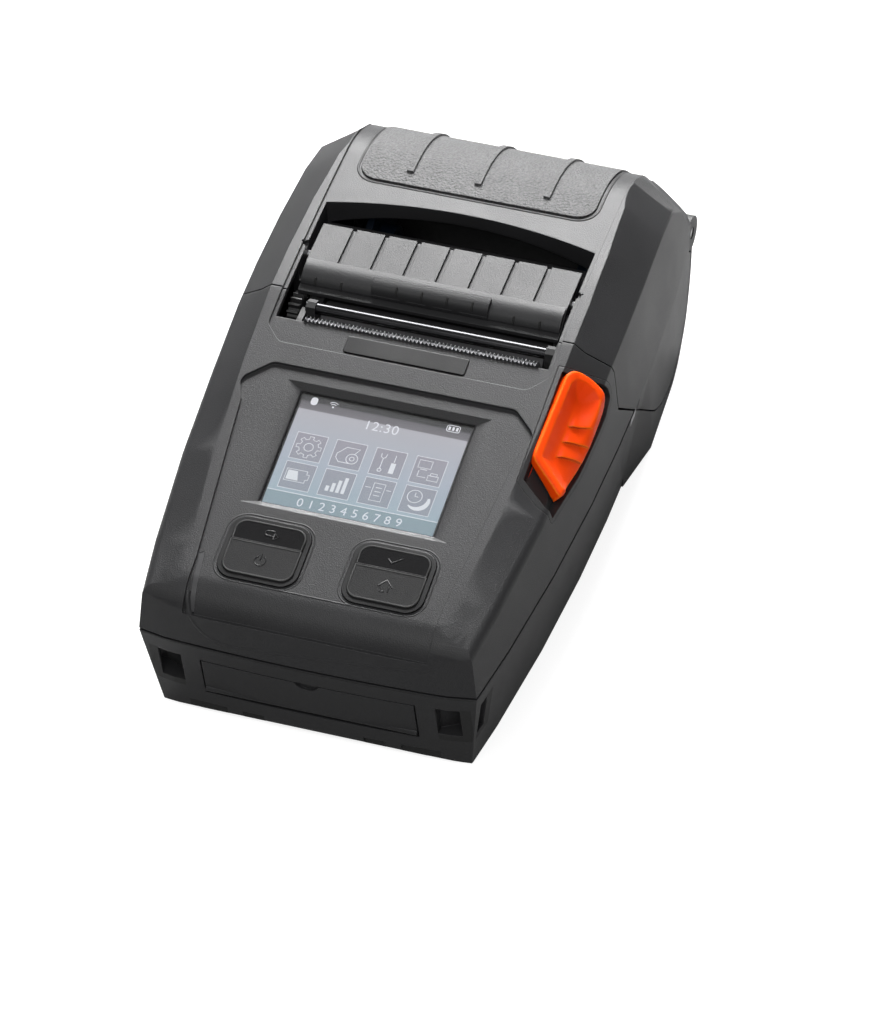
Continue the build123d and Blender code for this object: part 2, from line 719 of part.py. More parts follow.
# Recessed black bezel that the lever slides in
stem_x = (41.2, 43.6)
stem_y = (-20.0, -15.0)
with BuildPart() as latch_bezel:
    add(lever_prism(bezel_rim, lever_travel + 0.5))
    add(beyond_bezel, mode=Mode.INTERSECT)
    add(outer, mode=Mode.INTERSECT)
    add(lever_prism(sliding, lever_travel + 0.5) & beyond_pocket, mode=Mode.SUBTRACT)
    add(block((stem_x[0] - sliding, stem_x[1] + sliding), (stem_y[0] - lever_travel - 0.4, stem_y[1] + sliding), (40, 60)), mode=Mode.SUBTRACT)
save(latch_bezel, "latch_bezel")

# Orange slide lever with its scoop, grip steps, stem, hook bar and nose
lever_scoop = lever_prism(-lever_rim, 0) - envelope(scoop_depth)
for i in range(3):
    y = -12.4 - 3.4 * i
    lever_scoop -= side_prism([(y, 40), (y + 1.3, 40), (y + 2.3, 50.5), (y + 1.5, 51.5), (y + 0.4, 50.5)], (40, 60))
with BuildPart() as latch_lever:
    add(envelope(-1.0))
    add(lever_prism(0, 0), mode=Mode.INTERSECT)
    add(beyond_floor, mode=Mode.INTERSECT)
    add(lever_scoop, mode=Mode.SUBTRACT)
    add(block(stem_x, stem_y, (hook_z[1] - 0.5, 51.5)))
    add(block(stem_x, (stem_y[0], hook_end), hook_z))
    add(block(stem_x, (hook_end - 3, hook_end), (hook_z[0], hook_z[1] + 2.4)))
save(latch_lever, "latch_lever")

# The grip panel lies in a seat in the crown
with BuildPart() as panel_plan:
    with BuildSketch(Plane.XY.offset(36)):
        with Locations((0, panel_front_y + 25)):
            RectangleRounded(2 * panel_half, 50, 5)
    extrude(amount=40)
with BuildPart() as seat_plan:
    with BuildSketch(Plane.XY.offset(36 - seat_gap)):
        with Locations((0, panel_front_y + 25)):
            RectangleRounded(2 * panel_half + 2 * seat_gap, 50 + 2 * seat_gap, 5)
    extrude(amount=40)
panel_seat = seat_plan.part - side_form(rail_step + 0.6)

# Roll cover: crown, cheeks, pocket of the flap and half of the hinge
with BuildPart() as roll_cover:
    add(outer)
    add(cover_region(0), mode=Mode.INTERSECT)
    add(inner, mode=Mode.SUBTRACT)
    add(mouth_form(pocket_wall, pocket_front_y, pocket_floor_z - pocket_wall, roll_clearance) & inner)
    add(mouth_form(0, pocket_front_y + pocket_wall, pocket_floor_z, roll_clearance + pocket_wall), mode=Mode.SUBTRACT)
    add(mouth_form(0, 0, 55.0, 10), mode=Mode.SUBTRACT)
    for side in (-1, 1):
        add(plan_prism([(side * 36, pivot_y - 1.6), (side * 38.2, pivot_y), (side * 36, pivot_y + 1.6)], (60.2, 70)), mode=Mode.SUBTRACT)
    add(bar((-38.4, 38.4), pivot_y, pivot_z, 1.05), mode=Mode.SUBTRACT)
    add(rail_tool, mode=Mode.SUBTRACT)
    add(hinge_clear, mode=Mode.SUBTRACT)
    for side in (-1, 1):
        x = sorted((side * (knuckle_inner + 0.1), side * (knuckle_outer - 0.2)))
        add(bar(x, hinge_y, hinge_z, hinge_radius))
        add((outer & block(x, (78, 90), (hinge_z, 34))) - inner)
    add(hinge_bore, mode=Mode.SUBTRACT)
    add(panel_seat, mode=Mode.SUBTRACT)
save(roll_cover, "roll_cover")

# Pieces on the roll cover
with BuildPart() as platen_carrier:
    for x in (carrier_left, carrier_right):
        add(side_prism(arm_outline, x))
    add(block((carrier_left[0], carrier_right[1]), (pocket_front_y - 1, pocket_front_y), (44.5, 54.6)))
    add(bar((-40, 45), platen_y, platen_z, bush_radius), mode=Mode.SUBTRACT)
    add(bar((-40, 45), peel_y, peel_z, peel_radius), mode=Mode.SUBTRACT)
save(platen_carrier, "platen_carrier")

with BuildPart() as platen_bushes:
    for x in (carrier_left, carrier_right):
        add(bar(x, platen_y, platen_z, bush_radius))
    add(bar((-40, 45), platen_y, platen_z, shaft_radius + running), mode=Mode.SUBTRACT)
save(platen_bushes, "platen_bushes")

with BuildPart() as platen_shaft:
    add(bar((gear_x - gear_width / 2 - 0.3, plate_right[1] + 0.5), platen_y, platen_z, shaft_radius))
save(platen_shaft, "platen_shaft")

with BuildPart() as platen_roller:
    add(bar((unit_x - platen_length / 2, unit_x + platen_length / 2), platen_y, platen_z, platen_radius))
    add(bar((-60, 60), platen_y, platen_z, shaft_radius), mode=Mode.SUBTRACT)
save(platen_roller, "platen_roller")

with BuildPart() as platen_gear:
    add(gear(platen_teeth, platen_y, platen_z, platen_turn))
    add(bar((-60, 60), platen_y, platen_z, shaft_radius), mode=Mode.SUBTRACT)
save(platen_gear, "platen_gear")

with BuildPart() as peel_bar:
    add(bar((carrier_left[0] - 0.3, carrier_right[1] + 0.3), peel_y, peel_z, peel_radius))
save(peel_bar, "peel_bar")

with BuildPart() as peeler_flap:
    add(side_prism(flap_outline, (-flap_half, flap_half)))
    add(bar((-flap_half, flap_half), pivot_y, pivot_z, 2.3))
    for i in range(-3, 4):
        x = i * 8.8
        add(side_prism([(18.7, 59.6), (18.7, 63), (34, 63), (34, 60.1)], (x - 0.6, x + 0.6)), mode=Mode.SUBTRACT)
    for side in (-1, 1):
        for x in (20.0, 24.4, 28.8, 33.2):
            add(side_prism([(13.3, 57.2), (12.4, 57.8), (16.6, 60.4), (17.4, 60.1)], (side * x - 0.5, side * x + 0.5)))
    add(side_prism([(11.6, 58.2), (12.6, 59.6), (15.4, 61.6), (16.4, 60.8), (15.6, 58.8), (13.2, 57.0)], (-15.5, 15.5)))
    for x in (-7.0, 0.0, 7.0):
        add(block((x - 0.9, x + 0.9), (9, 12.8), (57.8, 62)), mode=Mode.SUBTRACT)
    add(bar((-60, 60), pivot_y, pivot_z, 1.05), mode=Mode.SUBTRACT)
save(peeler_flap, "peeler_flap")

with BuildPart() as flap_pins:
    for x in ((-38.2, -flap_half + 3), (flap_half - 3, 38.2)):
        add(bar(x, pivot_y, pivot_z, 1.0))
save(flap_pins, "flap_pins")

with BuildPart() as cover_strike:
    add(block((40.0, 45.0), (9.9, 11.7), (43.8, 58.8)) & inner)
    add(block((40.0, 45.0), (hook_end + sliding, 9.9), (43.8, 45.6)))
save(cover_strike, "cover_strike")

with BuildPart() as grip_panel:
    add(panel_plan.part)
    add(side_form(rail_step - 0.5), mode=Mode.INTERSECT)
    add(side_form(rail_step + 0.6), mode=Mode.SUBTRACT)
    rib_form = side_form(rail_step - 1.1) - side_form(rail_step + 0.2)
    for x in (-18.8, -0.3, 18.5):
        add(rib_form & block((x - 0.9, x + 0.9), (54, 95), (40, 80)))
save(grip_panel, "grip_panel")

with BuildPart() as hinge_pin:
    add(bar((-hinge_half + 0.3, hinge_half - 0.3), hinge_y, hinge_z, hinge_pin_radius))
save(hinge_pin, "hinge_pin")

# Display and keys
with BuildPart() as display_window:
    add(face_slab(0, 0, 52, 40, wall, window_thickness, 1.5))
save(display_window, "display_window")

with BuildPart() as lcd_panel:
    with BuildSketch(face_plane.offset(-wall - window_thickness)):
        Rectangle(50, 38)
    extrude(amount=-2.2)
    with BuildSketch(face_plane.offset(-wall - window_thickness - 2.2)):
        Rectangle(54, 42)
    extrude(amount=-1.2)
save(lcd_panel, "lcd_panel")

with BuildPart() as key_frames:
    for side in (-1, 1):
        size = (frame_width - 2 * seat_gap, frame_height - 2 * seat_gap)
        add(face_slab(side * frame_x, frame_v, *size, zone_depth - frame_proud, wall, frame_round))
        add(key_plate(side, 0, 0, -1, 6), mode=Mode.SUBTRACT)
save(key_frames, "key_frames")

for name, side, half in (
    ("key_left_upper", -1, 1),
    ("key_left_lower", -1, -1),
    ("key_right_upper", 1, 1),
    ("key_right_lower", 1, -1),
):
    with BuildPart() as key:
        add(key_plate(side, half, key_gap, zone_depth - key_proud, frame_bottom + 0.3 - zone_depth + key_proud))
        add(key_plate(side, half, -key_flange, frame_bottom + running, key_flange))
    save(key, name)

with BuildPart() as keypad_board:
    add(face_slab(0, frame_v, 58, 22.5, board_depth, 1.2, 1))
    for side in (-1, 1):
        for v in (split_v + upper_height / 2, split_v - upper_height / 2):
            with BuildSketch(face_plane.offset(-board_depth)):
                with Locations((side * frame_x, v)):
                    Rectangle(5, 3)
            extrude(amount=0.3)
save(keypad_board, "keypad_board")

with BuildPart() as status_light:
    add(plan_prism(light_outline, (38, 70)))
    add(side_form(zone_depth + 0.05), mode=Mode.INTERSECT)
    add(side_form(3.0), mode=Mode.SUBTRACT)
save(status_light, "status_light")

with BuildPart() as name_plate:
    add(face_slab(0, plate_v, 32.4, 5.0, rail_step - 0.35, 0.85, 0.5))
save(name_plate, "name_plate")

# Print unit in the body
with BuildPart() as tear_bar:
    count = int(63 / tooth_pitch)
    left = unit_x - 0.2 - count * tooth_pitch / 2
    points = [(left, lip_low)]
    for i in range(count):
        points.append((left + i * tooth_pitch, tooth_root_z))
        points.append((left + (i + 0.5) * tooth_pitch, tooth_root_z + 0.9))
    points += [(left + count * tooth_pitch, tooth_root_z), (left + count * tooth_pitch, lip_low)]
    add(front_prism(points, (mouth_front_y, mouth_front_y + 1.2)))
save(tear_bar, "tear_bar")

notch = side_prism([(platen_y - 2.35, platen_z), (platen_y + 2.35, platen_z), (platen_y + 9.5, 62), (platen_y - 0.8, 62)], (-60, 60))
with BuildPart() as mechanism_frame:
    for x in (plate_left, plate_right):
        add(side_prism(frame_outline, x))
    add(block((plate_left[0], plate_right[1]), (-12.4, 11.6), (frame_floor, frame_floor + 1.4)))
    add(block((plate_left[0], plate_right[1]), (-9.7, -8.5), (46.6, 52.4)))
    add(bar((-60, 60), platen_y, platen_z, 2.35), mode=Mode.SUBTRACT)
    add(notch, mode=Mode.SUBTRACT)
    add(bar((-60, 0), idler_y, idler_z, 1.5), mode=Mode.SUBTRACT)
    add(bar((-60, 0), motor_y, motor_z, 2.6), mode=Mode.SUBTRACT)
    for x, y in post_places:
        add(post(x, y, (frame_floor - 1, frame_floor + 3), 1.5), mode=Mode.SUBTRACT)
save(mechanism_frame, "mechanism_frame")

head_x = (unit_x - 31.0, unit_x + 31.0)
with BuildPart() as print_head:
    add(block(head_x, (head_front - head_thickness, head_front), (42.0, 52.4)))
save(print_head, "print_head")

with BuildPart() as heat_sink:
    add(block(head_x, (head_front - head_thickness - 3.4, head_front - head_thickness), (45.2, 52.4)))
    add(block((plate_left[1], plate_right[0]), (head_front - head_thickness - 2.4, head_front - head_thickness), (46.6, 49.6)))
    for i in range(20):
        x = head_x[0] + 1.6 + 3.05 * i
        add(block((x, x + 1.2), (head_front - head_thickness - 4, head_front - head_thickness - 1.6), (44, 54)), mode=Mode.SUBTRACT)
save(heat_sink, "heat_sink")

with BuildPart() as head_springs:
    for x in (unit_x - 16.4, unit_x + 16.95):
        add(stub(x, (-8.5, head_front - head_thickness - 3.4), 49.4, 2.0))
save(head_springs, "head_springs")

with BuildPart() as drive_motor:
    add(bar((plate_left[1], plate_left[1] + motor_length), motor_y, motor_z, motor_radius))
    add(bar((plate_left[1] + motor_length, plate_left[1] + motor_length + 1.2), motor_y, motor_z, 3.0))
    add(bar((-60, plate_left[1] + 6), motor_y, motor_z, 1.0 + running), mode=Mode.SUBTRACT)
save(drive_motor, "drive_motor")

with BuildPart() as motor_pinion:
    add(gear(pinion_teeth, motor_y, motor_z, pinion_turn))
    add(bar((gear_x - gear_width / 2, plate_left[1] + 5.5), motor_y, motor_z, 1.0))
save(motor_pinion, "motor_pinion")

with BuildPart() as idler_gear:
    add(gear(idler_teeth, idler_y, idler_z, idler_turn))
    add(bar((-60, 60), idler_y, idler_z, 1.5 + running), mode=Mode.SUBTRACT)
save(idler_gear, "idler_gear")

with BuildPart() as idler_pin:
    add(bar((gear_x - gear_width / 2 - 0.3, plate_left[1]), idler_y, idler_z, 1.5))
    add(bar((gear_x - gear_width / 2 - 1.1, gear_x - gear_width / 2 - 0.3), idler_y, idler_z, 2.4))
save(idler_pin, "idler_pin")

with BuildPart() as paper_ramp:
    add(side_prism([(5.0, 41.6), (13.2, 40.6), (21.6, 31.4), (21.6, 29.2), (18.0, 27.8), (16.8, 27.8), (18.4, 31.6), (12.4, 39.2), (5.0, 40.2)], (plate_left[1] + 1, plate_right[0] - 1)))
save(paper_ramp, "paper_ramp")

with BuildPart() as frame_screws:
    for x, y in post_places:
        add(post(x, y, (frame_floor - 8, frame_floor + 1.4), 1.2))
        add(post(x, y, (frame_floor + 1.4, frame_floor + 2.8), 2.4))
save(frame_screws, "frame_screws")

with BuildPart() as case_screws:
    for x, y in case_places:
        add(post(x, y, (0.8, 2.4), 2.6))
        add(post(x, y, (2.4, 35), 1.3))
save(case_screws, "case_screws")

# Roll bay
with BuildPart() as guide_rod:
    add(bar((-46.6, 46.6), rod_y, rod_z, rod_radius))
save(guide_rod, "guide_rod")

for name, side in (("guide_left", -1), ("guide_right", 1)):
    guide = media_guide(side)
    guide.label = name
    export_step(guide, "parts/" + name + ".step")

with BuildPart() as guide_pinion:
    with BuildSketch(Plane.XZ.offset(-rack_y[1])):
        with Locations((0, rack_z)):
            Polygon(*gear_outline(rack_teeth, rack_module, 180 / rack_teeth - 90), align=None)
    extrude(amount=rack_y[1] - rack_y[0])
    add(stub(0, (0, 40), rack_z, stud_radius + running), mode=Mode.SUBTRACT)
save(guide_pinion, "guide_pinion")

# Electronics
with BuildPart() as battery_pack:
    add(block((-battery_width / 2, battery_width / 2), (battery_y, battery_y + battery_length), (0.6, 0.6 + battery_height)))
    fillet(battery_pack.edges().filter_by(Axis.Z), 2)
save(battery_pack, "battery_pack")

with BuildPart() as main_board:
    add(block((-30, 30), (-76, -22), (battery_height + 3.9, battery_height + 5.5)))
    for x in (-18, 18):
        for y in (-70, -28):
            add(block((x - 2, x + 2), (y - 2, y + 2), (battery_height + 2.5, battery_height + 4)))
    for x, y, w, d in ((-14, -58, 14, 14), (10, -60, 9, 12), (-12, -36, 8, 8), (12, -38, 12, 9)):
        add(block((x - w / 2, x + w / 2), (y - d / 2, y + d / 2), (battery_height + 5, battery_height + 7)))
save(main_board, "main_board")

with BuildPart() as interface_door:
    add(outer)
    add(block((-door_half, door_half), (-100, front_low + door_thickness), (door_axis_z, door_high)), mode=Mode.INTERSECT)
    add(bar((-door_half, door_half), door_axis_y, door_axis_z, door_barrel))
    add(stub(0, (-100, front_y + 2), door_high + 1.2, 3.4), mode=Mode.SUBTRACT)
save(interface_door, "interface_door")

with BuildPart() as port_board:
    add(block((-28, 28), (battery_y - 4.2, battery_y - 2.6), (5, 25)))
save(port_board, "port_board")

with BuildPart() as usb_port:
    add(block((ports[0] - 4.6, ports[0] + 4.6), (-87.0, battery_y - 4.2), (13.8, 17.2)))
    add(block((ports[0] - 3.6, ports[0] + 3.6), (-88, -83), (14.5, 16.5)), mode=Mode.SUBTRACT)
save(usb_port, "usb_port")

with BuildPart() as power_jack:
    add(stub(ports[1], (-87.0, -84.0), 15.5, 3.9))
    add(block((ports[1] - 4.5, ports[1] + 4.5), (-84.0, battery_y - 4.2), (11, 20)))
    add(stub(ports[1], (-88, -83), 15.5, 2.6), mode=Mode.SUBTRACT)
    add(stub(ports[1], (-86.5, -83), 15.5, 0.9))
save(power_jack, "power_jack")
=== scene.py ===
import json
import math
import bmesh
import bpy
from mathutils import Matrix, Vector
from mathutils.bvhtree import BVHTree

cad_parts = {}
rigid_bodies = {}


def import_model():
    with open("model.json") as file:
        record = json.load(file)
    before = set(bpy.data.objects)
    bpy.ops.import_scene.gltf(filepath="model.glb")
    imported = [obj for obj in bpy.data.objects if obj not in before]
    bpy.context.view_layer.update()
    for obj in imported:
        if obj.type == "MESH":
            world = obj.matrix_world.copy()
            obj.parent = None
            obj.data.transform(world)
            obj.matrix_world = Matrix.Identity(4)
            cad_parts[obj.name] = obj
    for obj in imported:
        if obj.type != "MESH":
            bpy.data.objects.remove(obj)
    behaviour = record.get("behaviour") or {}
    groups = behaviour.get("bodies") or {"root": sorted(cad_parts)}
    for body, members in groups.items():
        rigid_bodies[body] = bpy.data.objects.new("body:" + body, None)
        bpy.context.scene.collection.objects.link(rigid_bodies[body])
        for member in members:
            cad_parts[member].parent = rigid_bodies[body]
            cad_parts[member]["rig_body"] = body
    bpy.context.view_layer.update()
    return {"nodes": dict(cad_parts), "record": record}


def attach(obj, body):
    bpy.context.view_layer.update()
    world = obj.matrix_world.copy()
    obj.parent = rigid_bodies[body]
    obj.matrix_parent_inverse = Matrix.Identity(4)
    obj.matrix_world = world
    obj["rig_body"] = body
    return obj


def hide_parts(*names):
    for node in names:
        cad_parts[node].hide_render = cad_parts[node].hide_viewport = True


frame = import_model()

nodes = frame["nodes"]
collection = bpy.context.scene.collection
print("stage: frame loaded,", len(nodes), "nodes")


# small helpers for node trees
def makeGroup(name, inputs, outputs):
    group = bpy.data.node_groups.new(name, "ShaderNodeTree")
    for socketName, value in inputs:
        socket = group.interface.new_socket(socketName, in_out="INPUT", socket_type="NodeSocketFloat")
        socket.default_value = value
    for socketName, kind in outputs:
        group.interface.new_socket(socketName, in_out="OUTPUT", socket_type="NodeSocket" + kind)
    return group, group.nodes.new("NodeGroupInput"), group.nodes.new("NodeGroupOutput")


def addNode(tree, kind, settings=None, **sockets):  # i1=... sets socket 1, Scale=... the socket of that name
    node = tree.nodes.new("ShaderNode" + kind)
    for key, value in (settings or {}).items():
        setattr(node, key, value)
    for key, value in sockets.items():
        socket = int(key[1:]) if key[0] == "i" and key[1:].isdigit() else key.replace("_", " ")
        node.inputs[socket].default_value = value
    return node


def join(tree, *pairs):
    for source, target in pairs:
        tree.links.new(source, target)


def spread(tree, value, low, high, outLow, outHigh):  # map range with plain numbers
    node = addNode(tree, "MapRange", i1=low, i2=high, i3=outLow, i4=outHigh)
    tree.links.new(value, node.inputs[0])
    return node.outputs[0]


def blendColors(tree, mask, first, second):  # either colour may be a socket
    node = addNode(tree, "Mix", {"data_type": "RGBA"})
    tree.links.new(mask, node.inputs["Factor"])
    for place, color in ((6, first), (7, second)):
        if isinstance(color, tuple):
            node.inputs[place].default_value = (*color, 1)
        else:
            tree.links.new(color, node.inputs[place])
    return node.outputs[2]


# fine texture of moulded plastic: a height for the bump and a slow mottle
def buildMouldedGrain():
    inputs = [("Grain Scale", 3000.0), ("Mottle Scale", 40.0)]
    group, start, end = makeGroup("mouldedGrain", inputs, [("Height", "Float"), ("Mottle", "Float")])
    place = addNode(group, "TexCoord")
    fine = addNode(group, "TexNoise", Detail=3.0, Roughness=0.6)
    pits = addNode(group, "TexVoronoi", {"feature": "F1"})
    slow = addNode(group, "TexNoise", Detail=4.0, Roughness=0.55)
    mixed = addNode(group, "Math", {"operation": "MULTIPLY_ADD"}, i1=0.6)
    join(
        group,
        (place.outputs["Object"], fine.inputs["Vector"]),
        (place.outputs["Object"], pits.inputs["Vector"]),
        (place.outputs["Object"], slow.inputs["Vector"]),
        (start.outputs["Grain Scale"], fine.inputs["Scale"]),
        (start.outputs["Grain Scale"], pits.inputs["Scale"]),
        (start.outputs["Mottle Scale"], slow.inputs["Scale"]),
        (pits.outputs["Distance"], mixed.inputs[0]),
        (fine.outputs[0], mixed.inputs[2]),
        (mixed.outputs[0], end.inputs["Height"]),
        (slow.outputs[0], end.inputs["Mottle"]),
    )
    return group


# sandy grip coating: raised grains of uneven size and a speckle mask
def buildSandGrain():
    inputs = [("Grain Scale", 1400.0)]
    group, start, end = makeGroup("sandGrain", inputs, [("Height", "Float"), ("Speckle", "Float")])
    place = addNode(group, "TexCoord")
    grains = addNode(group, "TexVoronoi", {"feature": "SMOOTH_F1"}, Smoothness=0.4)
    lumps = addNode(group, "TexNoise", Detail=5.0, Roughness=0.7)
    height = addNode(group, "Math", {"operation": "MULTIPLY_ADD"}, i1=-1.0)
    speckle = addNode(group, "ValToRGB")
    speckle.color_ramp.elements[0].position = 0.45
    speckle.color_ramp.elements[1].position = 0.72
    join(
        group,
        (place.outputs["Object"], grains.inputs["Vector"]),
        (place.outputs["Object"], lumps.inputs["Vector"]),
        (start.outputs[0], grains.inputs["Scale"]),
        (start.outputs[0], lumps.inputs["Scale"]),
        (grains.outputs["Distance"], height.inputs[0]),
        (lumps.outputs[0], height.inputs[2]),
        (height.outputs[0], end.inputs["Height"]),
        (lumps.outputs[0], speckle.inputs[0]),
        (speckle.outputs[0], end.inputs["Speckle"]),
    )
    return group


# rounded edges for the light, and a mask of where they are, which paints a highlight on edges
def buildSoftEdge():
    group, start, end = makeGroup("softEdge", [("Radius", 0.0003)], [("Normal", "Vector"), ("Edge", "Float")])
    rounded = addNode(group, "Bevel", {"samples": 4})
    flat = addNode(group, "NewGeometry")
    closeness = addNode(group, "VectorMath", {"operation": "DOT_PRODUCT"})
    edge = addNode(group, "MapRange", i1=1.0, i2=0.86, i3=0.0, i4=1.0)
    join(
        group,
        (start.outputs[0], rounded.inputs["Radius"]),
        (rounded.outputs[0], closeness.inputs[0]),
        (flat.outputs["Normal"], closeness.inputs[1]),
        (closeness.outputs["Value"], edge.inputs[0]),
        (rounded.outputs[0], end.inputs["Normal"]),
        (edge.outputs[0], end.inputs["Edge"]),
    )
    return group


# how deep a point lies in a hollow, 0 in the open and 1 deep inside, from ambient occlusion, for painted
# shade in hollows
def buildHollow():
    group, start, end = makeGroup("hollow", [("Reach", 0.004)], [("Depth", "Float")])
    shade = addNode(group, "AmbientOcclusion", {"samples": 6, "only_local": True})
    depth = addNode(group, "MapRange", i1=0.95, i2=0.45, i3=0.0, i4=1.0)
    join(
        group,
        (start.outputs[0], shade.inputs["Distance"]),
        (shade.outputs["AO"], depth.inputs[0]),
        (depth.outputs[0], end.inputs["Depth"]),
    )
    return group


# drawn or ground lines of metal along one direction
def buildDrawnLines():
    inputs = [("Across X", 200.0), ("Across Y", 200.0), ("Across Z", 200.0)]
    group, start, end = makeGroup("drawnLines", inputs, [("Height", "Float"), ("Tone", "Float")])
    place = addNode(group, "TexCoord")
    scale = addNode(group, "CombineXYZ")
    stretched = addNode(group, "VectorMath", {"operation": "MULTIPLY"})
    lines = addNode(group, "TexNoise", Scale=1.0, Detail=4.0, Roughness=0.65)
    tone = addNode(group, "TexNoise", Scale=90.0, Detail=2.0)
    join(
        group,
        (start.outputs[0], scale.inputs[0]),
        (start.outputs[1], scale.inputs[1]),
        (start.outputs[2], scale.inputs[2]),
        (place.outputs["Object"], stretched.inputs[0]),
        (scale.outputs[0], stretched.inputs[1]),
        (stretched.outputs[0], lines.inputs["Vector"]),
        (place.outputs["Object"], tone.inputs["Vector"]),
        (lines.outputs[0], end.inputs["Height"]),
        (tone.outputs[0], end.inputs["Tone"]),
    )
    return group


mouldedGrain = buildMouldedGrain()
sandGrain = buildSandGrain()
softEdge = buildSoftEdge()
hollow = buildHollow()
drawnLines = buildDrawnLines()


def newMaterial(name, shaderValues):
    mat = bpy.data.materials.new(name)
    mat.use_nodes = True
    shader = mat.node_tree.nodes["Principled BSDF"]
    for socketName, value in shaderValues.items():
        shader.inputs[socketName].default_value = value
    return mat, mat.node_tree, shader


def placeGroup(tree, group, **values):
    node = tree.nodes.new("ShaderNodeGroup")
    node.node_tree = group
    for key, value in values.items():
        node.inputs[key.replace("_", " ")].default_value = value
    return node


def addBump(tree, height, depth, normal, shader):
    bump = addNode(tree, "Bump", Strength=1.0, Distance=depth)
    tree.links.new(height, bump.inputs["Height"])
    if normal is not None:
        tree.links.new(normal, bump.inputs["Normal"])
    tree.links.new(bump.outputs[0], shader.inputs["Normal"])


grainSpread = {"mottleScale": 40.0, "metalEdge": 0.00015}  # slow mottle of plastics, edge radius of metals


def mouldedPlastic(name, look):
    mat, tree, shader = newMaterial(name, look.get("shader", {}))
    grain = placeGroup(tree, mouldedGrain, Grain_Scale=look["grain"], Mottle_Scale=grainSpread["mottleScale"])
    edge = placeGroup(tree, softEdge, Radius=look["edge"])
    mottle = spread(tree, grain.outputs["Mottle"], 0.35, 0.65, 0.0, 1.0)
    color = blendColors(tree, mottle, look["color"], look["second"])
    # painted highlight: the edge mask lightens edges towards the rim colour
    color = blendColors(tree, edge.outputs["Edge"], color, look["rim"])
    # painted shade: hollows darkened through the ambient-occlusion mask
    if "hollowShade" in look:
        inside = placeGroup(tree, hollow, Reach=look["reach"])
        color = blendColors(tree, inside.outputs[0], color, look["hollowShade"])
    join(tree, (color, shader.inputs["Base Color"]))
    low, high = look["rough"]
    join(tree, (spread(tree, grain.outputs["Mottle"], 0.3, 0.7, low, high), shader.inputs["Roughness"]))
    addBump(tree, grain.outputs["Height"], look["depth"], edge.outputs["Normal"], shader)
    return mat


def drawnMetal(name, look):
    mat, tree, shader = newMaterial(name, {"Metallic": 1.0})
    across = look["across"]
    lines = placeGroup(tree, drawnLines, Across_X=across[0], Across_Y=across[1], Across_Z=across[2])
    edge = placeGroup(tree, softEdge, Radius=grainSpread["metalEdge"])
    tone = spread(tree, lines.outputs["Tone"], 0.35, 0.65, 0.0, 1.0)
    color = blendColors(tree, tone, look["color"], look["second"])
    join(tree, (color, shader.inputs["Base Color"]))
    low, high = look["rough"]
    join(tree, (spread(tree, lines.outputs["Height"], 0.3, 0.7, low, high), shader.inputs["Roughness"]))
    addBump(tree, lines.outputs["Height"], look["depth"], edge.outputs["Normal"], shader)
    return mat
